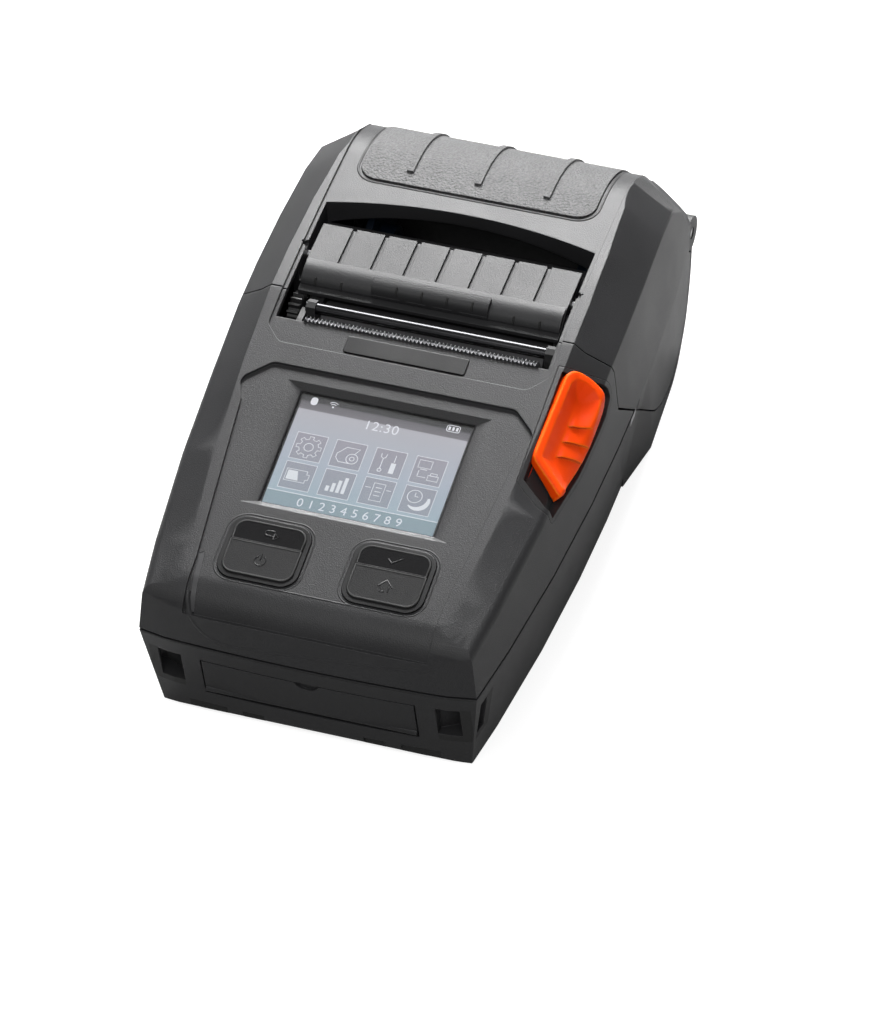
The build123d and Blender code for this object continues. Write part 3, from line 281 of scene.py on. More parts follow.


# moulded finishes: main colour, its slow variation, a painted highlight on edges, painted shade in deep
# hollows; a maker changes a finish here
plasticLooks = {
    "shellBlack": {
        "color": (0.017, 0.017, 0.018), "second": (0.021, 0.021, 0.0225), "rim": (0.036, 0.036, 0.038),
        "rough": (0.41, 0.48), "grain": 3400.0, "depth": 0.00005, "edge": 0.00035,
        "shader": {"Specular IOR Level": 0.33},
    },
    "shellDark": {
        "color": (0.0145, 0.0145, 0.0155), "second": (0.018, 0.018, 0.019), "rim": (0.024, 0.024, 0.026),
        "rough": (0.46, 0.54), "grain": 3400.0, "depth": 0.000045, "edge": 0.00035,
        "shader": {"Specular IOR Level": 0.38},
    },
    "glossBlack": {
        "color": (0.0075, 0.0075, 0.008), "second": (0.0095, 0.0095, 0.01), "rim": (0.014, 0.014, 0.015),
        "rough": (0.26, 0.34), "grain": 2600.0, "depth": 0.00001, "edge": 0.0003,
    },
    "keyRubber": {
        "color": (0.014, 0.014, 0.0145), "second": (0.018, 0.018, 0.0185), "rim": (0.024, 0.024, 0.025),
        "rough": (0.5, 0.58), "grain": 4200.0, "depth": 0.00005, "edge": 0.0004,
        "shader": {"Specular IOR Level": 0.13},
    },
    "keyRubberDark": {
        "color": (0.005, 0.005, 0.0055), "second": (0.007, 0.007, 0.0075), "rim": (0.016, 0.016, 0.017),
        "rough": (0.6, 0.68), "grain": 4200.0, "depth": 0.00005, "edge": 0.0004,
        "shader": {"Specular IOR Level": 0.05},
    },
    "flapBlack": {
        "color": (0.017, 0.017, 0.018), "second": (0.021, 0.021, 0.0225), "rim": (0.03, 0.03, 0.032),
        "rough": (0.46, 0.53), "grain": 3400.0, "depth": 0.00004, "edge": 0.0003,
        "shader": {"Specular IOR Level": 0.34},
    },
    "gearBlack": {
        "color": (0.012, 0.012, 0.0125), "second": (0.016, 0.016, 0.0165), "rim": (0.024, 0.024, 0.025),
        "rough": (0.42, 0.5), "grain": 2200.0, "depth": 0.00001, "edge": 0.00008,
    },
    # the lever's lighter rim is a painted highlight, its darker scoop painted shade
    "leverOrange": {
        "color": (0.95, 0.058, 0.0005), "second": (0.99, 0.07, 0.0008), "rim": (1.0, 0.26, 0.006),
        "hollowShade": (0.4, 0.002, 0.0001), "reach": 0.009,
        "rough": (0.42, 0.5), "grain": 3000.0, "depth": 0.00003, "edge": 0.0008,
        "shader": {"Specular IOR Level": 0.12},
    },
    "platenRubber": {
        "color": (0.022, 0.022, 0.024), "second": (0.03, 0.03, 0.032), "rim": (0.035, 0.035, 0.037),
        "rough": (0.6, 0.72), "grain": 5200.0, "depth": 0.00003, "edge": 0.0002,
    },
    "gearWhite": {
        "color": (0.72, 0.7, 0.64), "second": (0.78, 0.76, 0.7), "rim": (0.84, 0.82, 0.77),
        "rough": (0.4, 0.5), "grain": 2200.0, "depth": 0.00001, "edge": 0.00008,
        "shader": {"Subsurface Weight": 0.08},
    },
    "connectorBlack": {
        "color": (0.018, 0.018, 0.019), "second": (0.024, 0.024, 0.025), "rim": (0.034, 0.034, 0.036),
        "rough": (0.45, 0.55), "grain": 2600.0, "depth": 0.00003, "edge": 0.0003,
    },
    "guideBlue": {
        "color": (0.008, 0.016, 0.03), "second": (0.01, 0.02, 0.036), "rim": (0.018, 0.032, 0.055),
        "rough": (0.38, 0.46), "grain": 2600.0, "depth": 0.00002, "edge": 0.0003,
    },
    "headCeramic": {
        "color": (0.11, 0.085, 0.07), "second": (0.13, 0.1, 0.082), "rim": (0.2, 0.17, 0.14),
        "rough": (0.22, 0.3), "grain": 1800.0, "depth": 0.000006, "edge": 0.00012,
    },
    "stripPale": {
        "color": (0.3, 0.3, 0.31), "second": (0.36, 0.36, 0.37), "rim": (0.42, 0.42, 0.43),
        "rough": (0.35, 0.45), "grain": 2600.0, "depth": 0.00001, "edge": 0.0001,
    },
    "lightGrey": {
        "color": (0.035, 0.035, 0.037), "second": (0.045, 0.045, 0.047), "rim": (0.16, 0.16, 0.165),
        "rough": (0.3, 0.4), "grain": 2600.0, "depth": 0.00001, "edge": 0.0001,
    },
    "mechanismBlack": {
        "color": (0.012, 0.012, 0.0125), "second": (0.016, 0.016, 0.0165), "rim": (0.03, 0.03, 0.031),
        "rough": (0.52, 0.62), "grain": 2600.0, "depth": 0.00001, "edge": 0.00012,
    },
    "slotShadow": {
        "color": (0.004, 0.004, 0.004), "second": (0.006, 0.006, 0.006), "rim": (0.008, 0.008, 0.008),
        "rough": (0.6, 0.7), "grain": 2600.0, "depth": 0.00001, "edge": 0.0001,
    },
}
metalLooks = {
    "steel": {
        "color": (0.4, 0.4, 0.41), "second": (0.46, 0.46, 0.47), "rough": (0.32, 0.44),
        "across": (120.0, 2600.0, 900.0), "depth": 0.000006,
    },
    "brightSteel": {
        "color": (0.58, 0.58, 0.59), "second": (0.64, 0.64, 0.65), "rough": (0.16, 0.26),
        "across": (60.0, 3200.0, 3200.0), "depth": 0.000003,
    },
    "tearSteel": {
        "color": (0.16, 0.16, 0.165), "second": (0.2, 0.2, 0.205), "rough": (0.3, 0.4),
        "across": (120.0, 2600.0, 900.0), "depth": 0.000004,
    },
    "blackenedSteel": {
        "color": (0.035, 0.035, 0.037), "second": (0.045, 0.045, 0.047), "rough": (0.2, 0.28),
        "across": (60.0, 3200.0, 3200.0), "depth": 0.000003,
    },
    "heatSinkAluminium": {
        "color": (0.62, 0.62, 0.63), "second": (0.68, 0.68, 0.69), "rough": (0.3, 0.42),
        "across": (90.0, 2400.0, 2400.0), "depth": 0.000008,
    },
}
finishes = {name: mouldedPlastic(name, look) for name, look in plasticLooks.items()}
finishes.update({name: drawnMetal(name, look) for name, look in metalLooks.items()})


# sandy grey grip coating
gripLook = {
    "color": (0.04, 0.04, 0.041), "speck": (0.125, 0.125, 0.127),
    "rough": (0.5, 0.62), "grain": 1500.0, "depth": 0.00022, "edge": 0.0004,
}


def gripCoating():
    mat, tree, shader = newMaterial("gripGrey", {})
    grain = placeGroup(tree, sandGrain, Grain_Scale=gripLook["grain"])
    edge = placeGroup(tree, softEdge, Radius=gripLook["edge"])
    color = blendColors(tree, grain.outputs["Speckle"], gripLook["color"], gripLook["speck"])
    join(tree, (color, shader.inputs["Base Color"]))
    roughness = spread(tree, grain.outputs["Speckle"], 0.0, 1.0, *gripLook["rough"])
    join(tree, (roughness, shader.inputs["Roughness"]))
    addBump(tree, grain.outputs["Height"], gripLook["depth"], edge.outputs["Normal"], shader)
    return mat


# green boards: solder mask over tracks, gold pads and black chips above the board's top
boardLook = {
    "mask": (0.012, 0.075, 0.03), "track": (0.02, 0.12, 0.045), "pad": (0.75, 0.55, 0.22),
    "chip": (0.012, 0.012, 0.013), "scale": 420.0, "padScale": 336.0, "depth": 0.00004,
    "trackEdge": (0.06, 0.09), "padEdge": (0.16, 0.18), "chipEdge": 0.00005, "rough": (0.42, 0.25),
    "mainBoardTop": 0.0236, "noChips": 0.9,
}


def circuitBoard(name, chipsAbove):
    mat, tree, shader = newMaterial(name, {"Coat Weight": 0.4, "Coat Roughness": 0.15})
    place = addNode(tree, "TexCoord")
    tracks = addNode(tree, "TexVoronoi", {"feature": "DISTANCE_TO_EDGE"}, Scale=boardLook["scale"])
    padKind = {"feature": "F1", "distance": "CHEBYCHEV"}
    pads = addNode(tree, "TexVoronoi", padKind, Scale=boardLook["padScale"], Randomness=0.35)
    parts = addNode(tree, "SeparateXYZ")
    for socket in (tracks.inputs["Vector"], pads.inputs["Vector"], parts.inputs[0]):
        join(tree, (place.outputs["Object"], socket))
    trackMask = spread(tree, tracks.outputs["Distance"], *boardLook["trackEdge"], 1.0, 0.0)
    padMask = spread(tree, pads.outputs["Distance"], *boardLook["padEdge"], 1.0, 0.0)
    chipMask = spread(tree, parts.outputs[2], chipsAbove, chipsAbove + boardLook["chipEdge"], 0.0, 1.0)
    color = blendColors(tree, trackMask, boardLook["mask"], boardLook["track"])
    color = blendColors(tree, padMask, color, boardLook["pad"])
    color = blendColors(tree, chipMask, color, boardLook["chip"])
    join(tree, (color, shader.inputs["Base Color"]))
    join(tree, (spread(tree, padMask, 0.0, 1.0, *boardLook["rough"]), shader.inputs["Roughness"]))
    addBump(tree, trackMask, boardLook["depth"], None, shader)
    return mat


# clear window over the display
windowLook = {
    "tint": (0.97, 0.98, 0.99), "rough": (0.018, 0.045), "grain": 1500.0, "mottle": 25.0, "depth": 0.000004,
}


def clearWindow():
    values = {"Transmission Weight": 1.0, "IOR": 1.47, "Base Color": (*windowLook["tint"], 1)}
    mat, tree, shader = newMaterial("windowGlass", values)
    grain = placeGroup(tree, mouldedGrain, Grain_Scale=windowLook["grain"], Mottle_Scale=windowLook["mottle"])
    roughness = spread(tree, grain.outputs["Mottle"], 0.3, 0.7, *windowLook["rough"])
    join(tree, (roughness, shader.inputs["Roughness"]))
    addBump(tree, grain.outputs["Mottle"], windowLook["depth"], None, shader)
    return mat


# the sloping display face: its tilt in degrees and the middle of the display, in metres
displayFace = {"tilt": 10.5, "middle": (0, -0.0394, 0.0522)}
faceTilt = math.radians(displayFace["tilt"])
faceMiddle = Vector(displayFace["middle"])
faceUp = Vector((0, math.cos(faceTilt), math.sin(faceTilt)))
faceOut = Vector((0, -math.sin(faceTilt), math.cos(faceTilt)))


def onFace(u, v, above=0.0):  # millimetres right, up the slope and above the display face
    return faceMiddle + Vector((u / 1000, 0, 0)) + faceUp * (v / 1000) + faceOut * (above / 1000)


# the lit picture of the display: sizes in millimetres, colours from its lower edge up
pictureLook = {
    "width": 45.1, "height": 33.8, "depth": 3.12, "layer": 0.03, "rows": 12,
    "grain": 6000.0, "mottle": 60.0, "dim": 0.08, "glow": 0.9,
    "stops": [
        (0.0, (0.25, 0.34, 0.39)), (0.125, (0.26, 0.355, 0.4)), (0.13, (0.36, 0.46, 0.53)),
        (0.45, (0.42, 0.47, 0.55)), (0.875, (0.47, 0.465, 0.51)), (0.885, (0.16, 0.15, 0.17)),
        (0.945, (0.12, 0.115, 0.13)), (0.96, (0.02, 0.019, 0.022)), (1.0, (0.013, 0.013, 0.015)),
    ],
}
tileLook = {
    "stops": [(0.0, (0.3, 0.34, 0.4)), (1.0, (0.34, 0.325, 0.38))], "glow": 0.9, "low": -13.0, "high": 7.0,
}
markLook = {"stops": [(0.0, (0.72, 0.76, 0.8)), (1.0, (0.8, 0.8, 0.84))], "glow": 0.95}


def litPicture(name, look):
    values = {"Base Color": (0.01, 0.01, 0.01, 1), "Roughness": 0.3, "Emission Strength": look["glow"]}
    mat, tree, shader = newMaterial(name, values)
    place = addNode(tree, "TexCoord")
    along = addNode(tree, "VectorMath", {"operation": "DOT_PRODUCT"}, i1=tuple(faceUp))
    ramp = addNode(tree, "ValToRGB")
    scales = {"Grain_Scale": pictureLook["grain"], "Mottle_Scale": pictureLook["mottle"]}
    grain = placeGroup(tree, mouldedGrain, **scales)
    base = faceMiddle.dot(faceUp)
    low = base + look.get("low", -pictureLook["height"] / 2) / 1000
    high = base + look.get("high", pictureLook["height"] / 2) / 1000
    join(tree, (place.outputs["Object"], along.inputs[0]))
    join(tree, (spread(tree, along.outputs["Value"], low, high, 0.0, 1.0), ramp.inputs[0]))
    points = ramp.color_ramp.elements
    for i, (position, color) in enumerate(look["stops"]):
        point = points[i] if i < 2 else points.new(position)
        point.position = position
        point.color = (*color, 1)
    dim = addNode(tree, "Mix", {"data_type": "RGBA", "blend_type": "MULTIPLY"})
    dim.inputs["Factor"].default_value = pictureLook["dim"]
    join(tree, (ramp.outputs[0], dim.inputs[6]), (grain.outputs["Mottle"], dim.inputs[7]))
    join(tree, (dim.outputs[2], shader.inputs["Emission Color"]))
    return mat


finishes["gripGrey"] = gripCoating()
finishes["boardGreen"] = circuitBoard("boardGreen", boardLook["mainBoardTop"])
finishes["keypadGreen"] = circuitBoard("keypadGreen", boardLook["noChips"])
finishes["portGreen"] = circuitBoard("portGreen", boardLook["noChips"])
finishes["windowGlass"] = clearWindow()
for name, look in (("picture", pictureLook), ("tileGlow", tileLook), ("markGlow", markLook)):
    finishes[name] = litPicture(name, look)
print("stage: materials made,", len(finishes))


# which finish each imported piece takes
dressing = {
    "base_shell": "shellDark", "top_case": "shellBlack", "roll_cover": "shellBlack",
    "grip_panel": "gripGrey", "latch_bezel": "shellDark", "latch_lever": "leverOrange",
    "cover_strike": "steel", "display_window": "windowGlass", "lcd_panel": "glossBlack",
    "key_frames": "glossBlack", "key_left_upper": "keyRubberDark", "key_left_lower": "keyRubber",
    "key_right_upper": "keyRubberDark", "key_right_lower": "keyRubber", "keypad_board": "keypadGreen",
    "status_light": "lightGrey", "name_plate": "glossBlack", "tear_bar": "tearSteel",
    "peel_bar": "blackenedSteel", "peeler_flap": "flapBlack", "flap_pins": "steel",
    "platen_carrier": "mechanismBlack", "platen_bushes": "connectorBlack", "platen_shaft": "brightSteel",
    "platen_roller": "platenRubber", "platen_gear": "gearBlack", "idler_gear": "gearWhite",
    "idler_pin": "steel", "motor_pinion": "steel", "drive_motor": "steel",
    "mechanism_frame": "mechanismBlack", "print_head": "headCeramic", "heat_sink": "heatSinkAluminium",
    "head_springs": "brightSteel", "paper_ramp": "shellDark", "frame_screws": "steel",
    "case_screws": "steel", "guide_rod": "brightSteel", "guide_left": "guideBlue",
    "guide_right": "guideBlue", "guide_pinion": "gearWhite", "battery_pack": "connectorBlack",
    "main_board": "boardGreen", "interface_door": "shellDark", "port_board": "portGreen",
    "usb_port": "steel", "power_jack": "connectorBlack", "hinge_pin": "steel",
}
slotOf = {row["node"]: row["material_slot"] for row in frame["record"]["subparts"]}
for nodeName, obj in nodes.items():
    obj.data.materials.clear()
    obj.data.materials.append(finishes[dressing[nodeName]])

# outer pieces get a skin: the same shape with joined corners and smooth light over curves up to these degrees
skinned = {
    "top_case": 28, "roll_cover": 28, "base_shell": 28, "grip_panel": 35, "latch_bezel": 30, "key_frames": 30,
    "peeler_flap": 30, "interface_door": 30, "status_light": 30, "name_plate": 30, "peel_bar": 40,
    "key_left_upper": 30, "key_left_lower": 30, "key_right_upper": 30, "key_right_lower": 30,
    "platen_roller": 40, "platen_shaft": 40, "hinge_pin": 40, "guide_rod": 40,
    "guide_left": 30, "guide_right": 30,
}
skinLook = {"joined": 0.000004, "flat": 0.4, "evenness": 60}


def bodyOf(nodeName):
    return nodes[nodeName]["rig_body"]


def smoothMesh(mesh, angle):
    work = bmesh.new()
    work.from_mesh(mesh)
    bmesh.ops.remove_doubles(work, verts=work.verts, dist=skinLook["joined"])
    flat = math.radians(skinLook["flat"])
    bmesh.ops.dissolve_limit(work, angle_limit=flat, verts=work.verts, edges=work.edges)
    limit = math.radians(angle)
    for face in work.faces:
        face.smooth = True
    for edge in work.edges:
        edge.smooth = len(edge.link_faces) == 2 and edge.calc_face_angle(0) < limit
    work.to_mesh(mesh)
    work.free()


def meshFrom(work, name):  # closes a mesh in the making
    mesh = bpy.data.meshes.new(name)
    work.to_mesh(mesh)
    work.free()
    return mesh


def finalMesh(obj):  # with modifiers, or with a curve's or a text's thickness
    bpy.context.view_layer.update()
    return bpy.data.meshes.new_from_object(obj.evaluated_get(bpy.context.evaluated_depsgraph_get()))


def addPiece(name, mesh, body, material):
    obj = bpy.data.objects.new(name, mesh)
    collection.objects.link(obj)
    mesh.materials.clear()
    mesh.materials.append(material)
    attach(obj, body)
    return obj


for nodeName, angle in skinned.items():
    mesh = nodes[nodeName].data.copy()
    if mesh.has_custom_normals:
        mesh.attributes.remove(mesh.attributes["custom_normal"])
    smoothMesh(mesh, angle)
    material = finishes[dressing[nodeName]]
    skin = addPiece(nodeName + "_skin", mesh, bodyOf(nodeName), material)
    weighted = skin.modifiers.new("evenLight", "WEIGHTED_NORMAL")
    weighted.keep_sharp = True
    weighted.weight = skinLook["evenness"]
    made = finalMesh(skin)
    skin.modifiers.clear()
    skin.data = made
    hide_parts(nodeName)
print("stage: skins made,", len(skinned))


# latch lever: a thin raised rim round a deep scoop that is open to the side, with three finger steps
leverShape = {  # millimetres in the lever's own plane, from its origin: across, along to the front, outward
    "origin": (45.0, -15.0, 50.0), "across": (0.8054, 0.0825, -0.5869),
    "along": (-0.0173, -0.9866, -0.1625), "outward": (0.5924, -0.141, 0.7932),
    "outline": [
        (-6.9, -11.6), (-6.5, -13.7), (-5.2, -15.2), (-3.2, -15.9), (0.2, -16.0), (3.0, -15.4), (5.4, -14.2),
        (7.0, -11.8), (7.5, -6.1), (7.5, 0.3), (6.8, 7.0), (4.8, 16.2), (3.7, 19.5), (2.4, 19.6),
        (1.0, 18.6), (-1.2, 17.1), (-4.0, 15.3), (-6.1, 13.8), (-6.9, 12.3), (-7.1, 9.4), (-7.0, 0.0),
    ],
    "scoop": [
        (8.2, -0.6), (5.9, -4.6), (5.1, -9.0), (4.0, -12.3), (1.7, -13.7), (-1.3, -14.1),
        (-4.0, -13.5), (-5.0, -11.3), (-5.1, 1.7), (-5.1, 12.2), (2.7, 17.4), (9.0, 16.6),
    ],
    "openTo": 20.0, "floor": 0.86, "fall": 0.045, "fallFrom": 0.5, "leastDepth": 0.35,
    "wall": 4.5, "wallCurve": 1.35,
    "steps": (-1.4, 3.6, 8.4), "stepSlope": 0.47, "stepShift": 0.5, "stepRise": 0.6, "stepRun": 4.2,
    "stepFrom": -0.7, "stepFade": 1.2, "stepEdges": (-0.02, 0.06), "stepClear": 0.1,
    "rimRound": 0.35, "sunk": 0.05, "underside": 0.64, "underFrom": 2.8, "underSlope": 1.2,
    "grid": 0.25, "gridAcross": (-8.0, 16.6), "gridAlong": (-20.5, 43.0), "snap": 0.12, "smooth": 34,
    "stemTop": 0.5, "stemRight": 43.8, "stemFront": -20.2,
}
# the case's shoulder over the lever's plane: two faces that meet in a rounded edge, each with its height at
# the origin, its slopes across and along, and for the facet its bend and twist
shoulder = {
    "facet": (3.622, 0.0314, 0.009, 0.00023, 0.00522), "flank": (9.158, -1.277, -0.0222), "round": 0.45,
}
leverOrigin, leverAcross, leverAlong, leverOutward = (
    Vector(leverShape[way]) for way in ("origin", "across", "along", "outward"))


def roundedOutline(points, parts=6):  # a closed smooth line through the points
    out = []
    for i in range(len(points)):
        before, here, after, later = (Vector(points[(i + k) % len(points)]) for k in (-1, 0, 1, 2))
        for j in range(parts):
            t = j / parts
            square = 2 * before - 5 * here + 4 * after - later
            cube = 3 * here - before - 3 * after + later
            out.append(0.5 * (2 * here + (after - before) * t + square * t * t + cube * t ** 3))
    return out


def nearestOn(point, line, closed):  # distance to a line of points, and its closest spot
    best, where = math.inf, None
    for i in range(len(line) if closed else len(line) - 1):
        start, end = line[i], line[(i + 1) % len(line)]
        step = end - start
        t = max(0.0, min(1.0, (point - start).dot(step) / max(step.length_squared, 1e-12)))
        spot = start + step * t
        gap = (point - spot).length
        if gap < best:
            best, where = gap, spot
    return best, where


def isInside(point, line):
    inside = False
    for i in range(len(line)):
        a, b = line[i], line[(i + 1) % len(line)]
        if (a.y > point.y) != (b.y > point.y) and point.x < (b.x - a.x) * (point.y - a.y) / (b.y - a.y) + a.x:
            inside = not inside
    return inside


def shoulderLift(u, v):
    base, alongU, alongV, bend, twist = shoulder["facet"]
    facet = base + alongU * u + alongV * v + bend * u * u + twist * u * v
    flankBase, flankU, flankV = shoulder["flank"]
    flank = flankBase + flankU * u + flankV * v
    size = shoulder["round"]
    return -size * math.log(math.exp(-facet / size) + math.exp(-flank / size))


def leverLift(point, outline, scoop):  # height of the lever's surface over its plane
    shape = leverShape
    top = shoulderLift(point.x, point.y) - shape["sunk"]
    edge = nearestOn(point, outline, True)[0]
    size = shape["rimRound"]
    if edge < size:
        top -= size - math.sqrt(max(size ** 2 - (size - edge) ** 2, 0))
    openSide = [Vector((shape["openTo"], scoop[-1].y)), Vector((shape["openTo"], scoop[0].y))]
    if not isInside(point, scoop + openSide):
        return top
    floor = shape["floor"] - shape["fall"] * max(point.x - shape["fallFrom"], 0) ** 2
    slant = point.y + shape["stepSlope"] * (point.x + shape["stepShift"])
    for line in shape["steps"]:
        if line - shape["stepRun"] < slant <= line:
            share = max(0.0, min(1.0, (point.x - shape["stepFrom"]) / shape["stepFade"]))
            floor += shape["stepRise"] * share * (1 - (line - slant) / shape["stepRun"])
    share = min(nearestOn(point, scoop, False)[0] / shape["wall"], 1.0)
    share = 1 - (1 - share) ** shape["wallCurve"]
    return top + (min(floor, top - shape["leastDepth"]) - top) * share


def leverSpot(flat, lift):
    return (leverOrigin + leverAcross * flat.x + leverAlong * flat.y + leverOutward * lift) / 1000


def leverGrid():  # places across and along, with two close rows at each step so that its edge is crisp
    shape = leverShape
    columns, rows = (
        [start + shape["grid"] * i for i in range(int(span / shape["grid"]))]
        for start, span in (shape["gridAcross"], shape["gridAlong"]))
    rows = [w for w in rows if min(abs(w - line) for line in shape["steps"]) > shape["stepClear"]]
    rows += [line + shift for line in shape["steps"] for shift in shape["stepEdges"]]
    return columns, sorted(rows)


def leverHead():
    shape = leverShape
    outline = roundedOutline(shape["outline"])
    scoop = [Vector(p) for p in shape["scoop"]]
    columns, rows = leverGrid()
    work = bmesh.new()
    grid = {}
    for j, w in enumerate(rows):
        for i, u in enumerate(columns):
            flat = Vector((u, w - shape["stepSlope"] * (u + shape["stepShift"])))
            gap, spot = nearestOn(flat, outline, True)
            if isInside(flat, outline) or gap < shape["snap"]:
                grid[i, j] = (work.verts.new((0, 0, 0)), flat, spot)
    for i, j in list(grid):
        corners = [(i, j), (i + 1, j), (i + 1, j + 1), (i, j + 1)]
        if all(k in grid for k in corners):
            work.faces.new([grid[k][0] for k in corners])
    for vert in [v for v in work.verts if not v.link_faces]:
        work.verts.remove(vert)
    for vert, flat, spot in grid.values():
        if vert.is_valid:
            flat = spot if vert.is_boundary else flat
            vert.co = leverSpot(flat, leverLift(flat, outline, scoop))
    rim = [e for e in work.edges if e.is_boundary]
    lowVerts = {}
    for vert in [v for v in work.verts if v.is_boundary]:
        local = vert.co * 1000 - leverOrigin
        flat = Vector((local.dot(leverAcross), local.dot(leverAlong)))
        low = shape["underside"] - max(0.0, flat.x - shape["underFrom"]) * shape["underSlope"]
        lowVerts[vert] = work.verts.new(leverSpot(flat, low))
    for first, second in [edge.verts for edge in rim]:
        work.faces.new((first, second, lowVerts[second], lowVerts[first]))
    bmesh.ops.edgenet_fill(work, edges=[e for e in work.edges if e.is_boundary])
    bmesh.ops.recalc_face_normals(work, faces=work.faces)
    return meshFrom(work, "latch_lever_head")


def isHead(face):  # a face of the CAD lever that the new head takes the place of
    spot = face.calc_center_median() * 1000
    high = (spot - leverOrigin).dot(leverOutward) > leverShape["stemTop"]
    return high or spot.x > leverShape["stemRight"] or spot.y < leverShape["stemFront"]


def buildLever():  # the stem and the hook stay as the CAD has them
    mesh = leverHead()
    work = bmesh.new()
    work.from_mesh(nodes["latch_lever"].data)
    bmesh.ops.delete(work, geom=[face for face in work.faces if isHead(face)], context="FACES")
    work.from_mesh(mesh)
    work.to_mesh(mesh)
    work.free()
    smoothMesh(mesh, leverShape["smooth"])
    body, slotName = bodyOf("latch_lever"), slotOf["latch_lever"]
    lever = addPiece("latch_lever_scoop", mesh, body, finishes["leverOrange"])
    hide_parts("latch_lever")


buildLever()
print("stage: lever made")


# thin round strokes along lines, as for marks and ridges
def strokes(name, lines, radius, body, material, rounds=2):
    curve = bpy.data.curves.new(name, "CURVE")
    curve.dimensions = "3D"
    curve.bevel_depth = radius / 1000
    curve.bevel_resolution = rounds
    curve.use_fill_caps = True
    for points, closed in lines:
        spline = curve.splines.new("POLY")
        spline.points.add(len(points) - 1)
        for target, point in zip(spline.points, points):
            target.co = (*point, 1)
        spline.use_cyclic_u = closed
    drawn = bpy.data.objects.new(name + "Line", curve)
    collection.objects.link(drawn)
    mesh = finalMesh(drawn)
    bpy.data.objects.remove(drawn)
    mesh.shade_smooth()
    return addPiece(name, mesh, body, material)


def arc(u, v, radius, start, end, steps):  # points of an arc, angles in degrees
    angles = [math.radians(start + (end - start) * i / steps) for i in range(steps + 1)]
    return [(u + radius * math.cos(angle), v + radius * math.sin(angle)) for angle in angles]


def roundedLoop(u, v, width, height, radius, steps=6):
    points = []
    for cu, cv, start in ((1, 1, 0), (-1, 1, 90), (-1, -1, 180), (1, -1, 270)):
        middle = (u + cu * (width / 2 - radius), v + cv * (height / 2 - radius))
        points += arc(*middle, radius, start, start + 90, steps)
    return points


def faceStrokes(name, lines, above, radius, body, material, rounds=2):  # on the display face
    placed = [([onFace(u, v, above) for u, v in points], closed) for points, closed in lines]
    return strokes(name, placed, radius, body, material, rounds)


# marks on the keys, raised a little out of the rubber
keyMarks = {"above": -0.12, "radius": 0.17, "frameU": 16.4, "frameV": -32.6, "upper": 4.9, "lower": -3.2}
upperV = keyMarks["frameV"] + keyMarks["upper"]
lowerV = keyMarks["frameV"] + keyMarks["lower"]
leftU, rightU = -keyMarks["frameU"], keyMarks["frameU"]
markLines = {
    "key_left_upper": [
        (arc(leftU - 0.6, upperV + 0.35, 0.75, 90, 270, 8) + [(leftU + 1.2, upperV - 0.4)], False),
        ([(leftU - 0.6, upperV + 1.1), (leftU + 0.9, upperV + 1.1)], False),
        ([(leftU + 1.1, upperV + 0.5), (leftU + 2.3, upperV - 0.4), (leftU + 1.1, upperV - 1.3)], True),
    ],
    "key_left_lower": [
        (arc(leftU, lowerV, 1.45, 125, 415, 22), False),
        ([(leftU, lowerV + 0.3), (leftU, lowerV + 2.0)], False),
    ],
    "key_right_upper": [
        ([(rightU - 1.7, upperV + 0.1), (rightU - 0.5, upperV - 1.0), (rightU + 2.0, upperV + 0.9)], False),
    ],
    "key_right_lower": [
        ([(rightU - 1.9, lowerV - 0.1), (rightU, lowerV + 2.0), (rightU + 1.9, lowerV - 0.1)], False),
        ([(rightU - 1.1, lowerV - 0.1), (rightU - 1.1, lowerV - 1.5), (rightU + 0.1, lowerV - 1.5)], False),
        ([(rightU + 1.1, lowerV - 0.1), (rightU + 1.1, lowerV - 1.5)], False),
    ],
}
for nodeName, lines in markLines.items():
    faceStrokes(
        nodeName + "_mark", lines, keyMarks["above"], keyMarks["radius"],
        bodyOf(nodeName), finishes["glossBlack"])
print("stage: key marks made")

# crest that wraps under both key frames and runs between them
crest = {
    "radius": 0.32, "level": -0.8, "sink": 0.2, "gap": 0.75, "width": 21.6, "height": 18.8, "corner": 5.2,
    "parts": 10,
}
outerW, outerH = crest["width"] + 2 * crest["gap"], crest["height"] + 2 * crest["gap"]
crestLines = []
for middle in (leftU, rightU):
    crestLines.append((roundedLoop(middle, keyMarks["frameV"], outerW, outerH, crest["corner"]), True))
bottomV = keyMarks["frameV"] - outerH / 2
runFrom = leftU + outerW / 2 - crest["corner"]
runStep = -2 * runFrom / crest["parts"]
crestLines.append(([(runFrom + runStep * i, bottomV) for i in range(crest["parts"] + 1)], False))
faceStrokes(
    "key_crest", crestLines, crest["level"] - crest["sink"], crest["radius"],
    "body", finishes["shellBlack"])

# low lip round the grip panel, following the crown of the cover
gripLip = {
    "halfWidth": 32.9, "frontY": 48.5, "rearY": 84.0, "corner": 5.6, "radius": 0.42, "sink": 0.22,
    "sideParts": 24, "frontParts": 8,
}
crown = {"ridgeY": 57.3, "top": 63.0, "frontTop": 60.428, "run": 52.3, "radius": 31.5, "railStep": 0.6}
crownRadius = crown["radius"] - crown["railStep"]


def crownHeight(y):  # top of the cover in millimetres, less the step of the rail
    if y <= crown["ridgeY"]:
        fall = (crown["top"] - crown["frontTop"]) * ((crown["ridgeY"] - y) / crown["run"]) ** 2
        return crown["top"] - crown["railStep"] - fall
    rise = math.sqrt(max(crownRadius ** 2 - (y - crown["ridgeY"]) ** 2, 0))
    return crown["top"] - crown["radius"] + rise


def lipPoint(x, y):
    slope = 0.0 if y <= crown["ridgeY"] else math.asin(min((y - crown["ridgeY"]) / crownRadius, 1))
    sink = gripLip["sink"]
    return Vector((x, y - sink * math.sin(slope), crownHeight(y) - sink * math.cos(slope))) / 1000


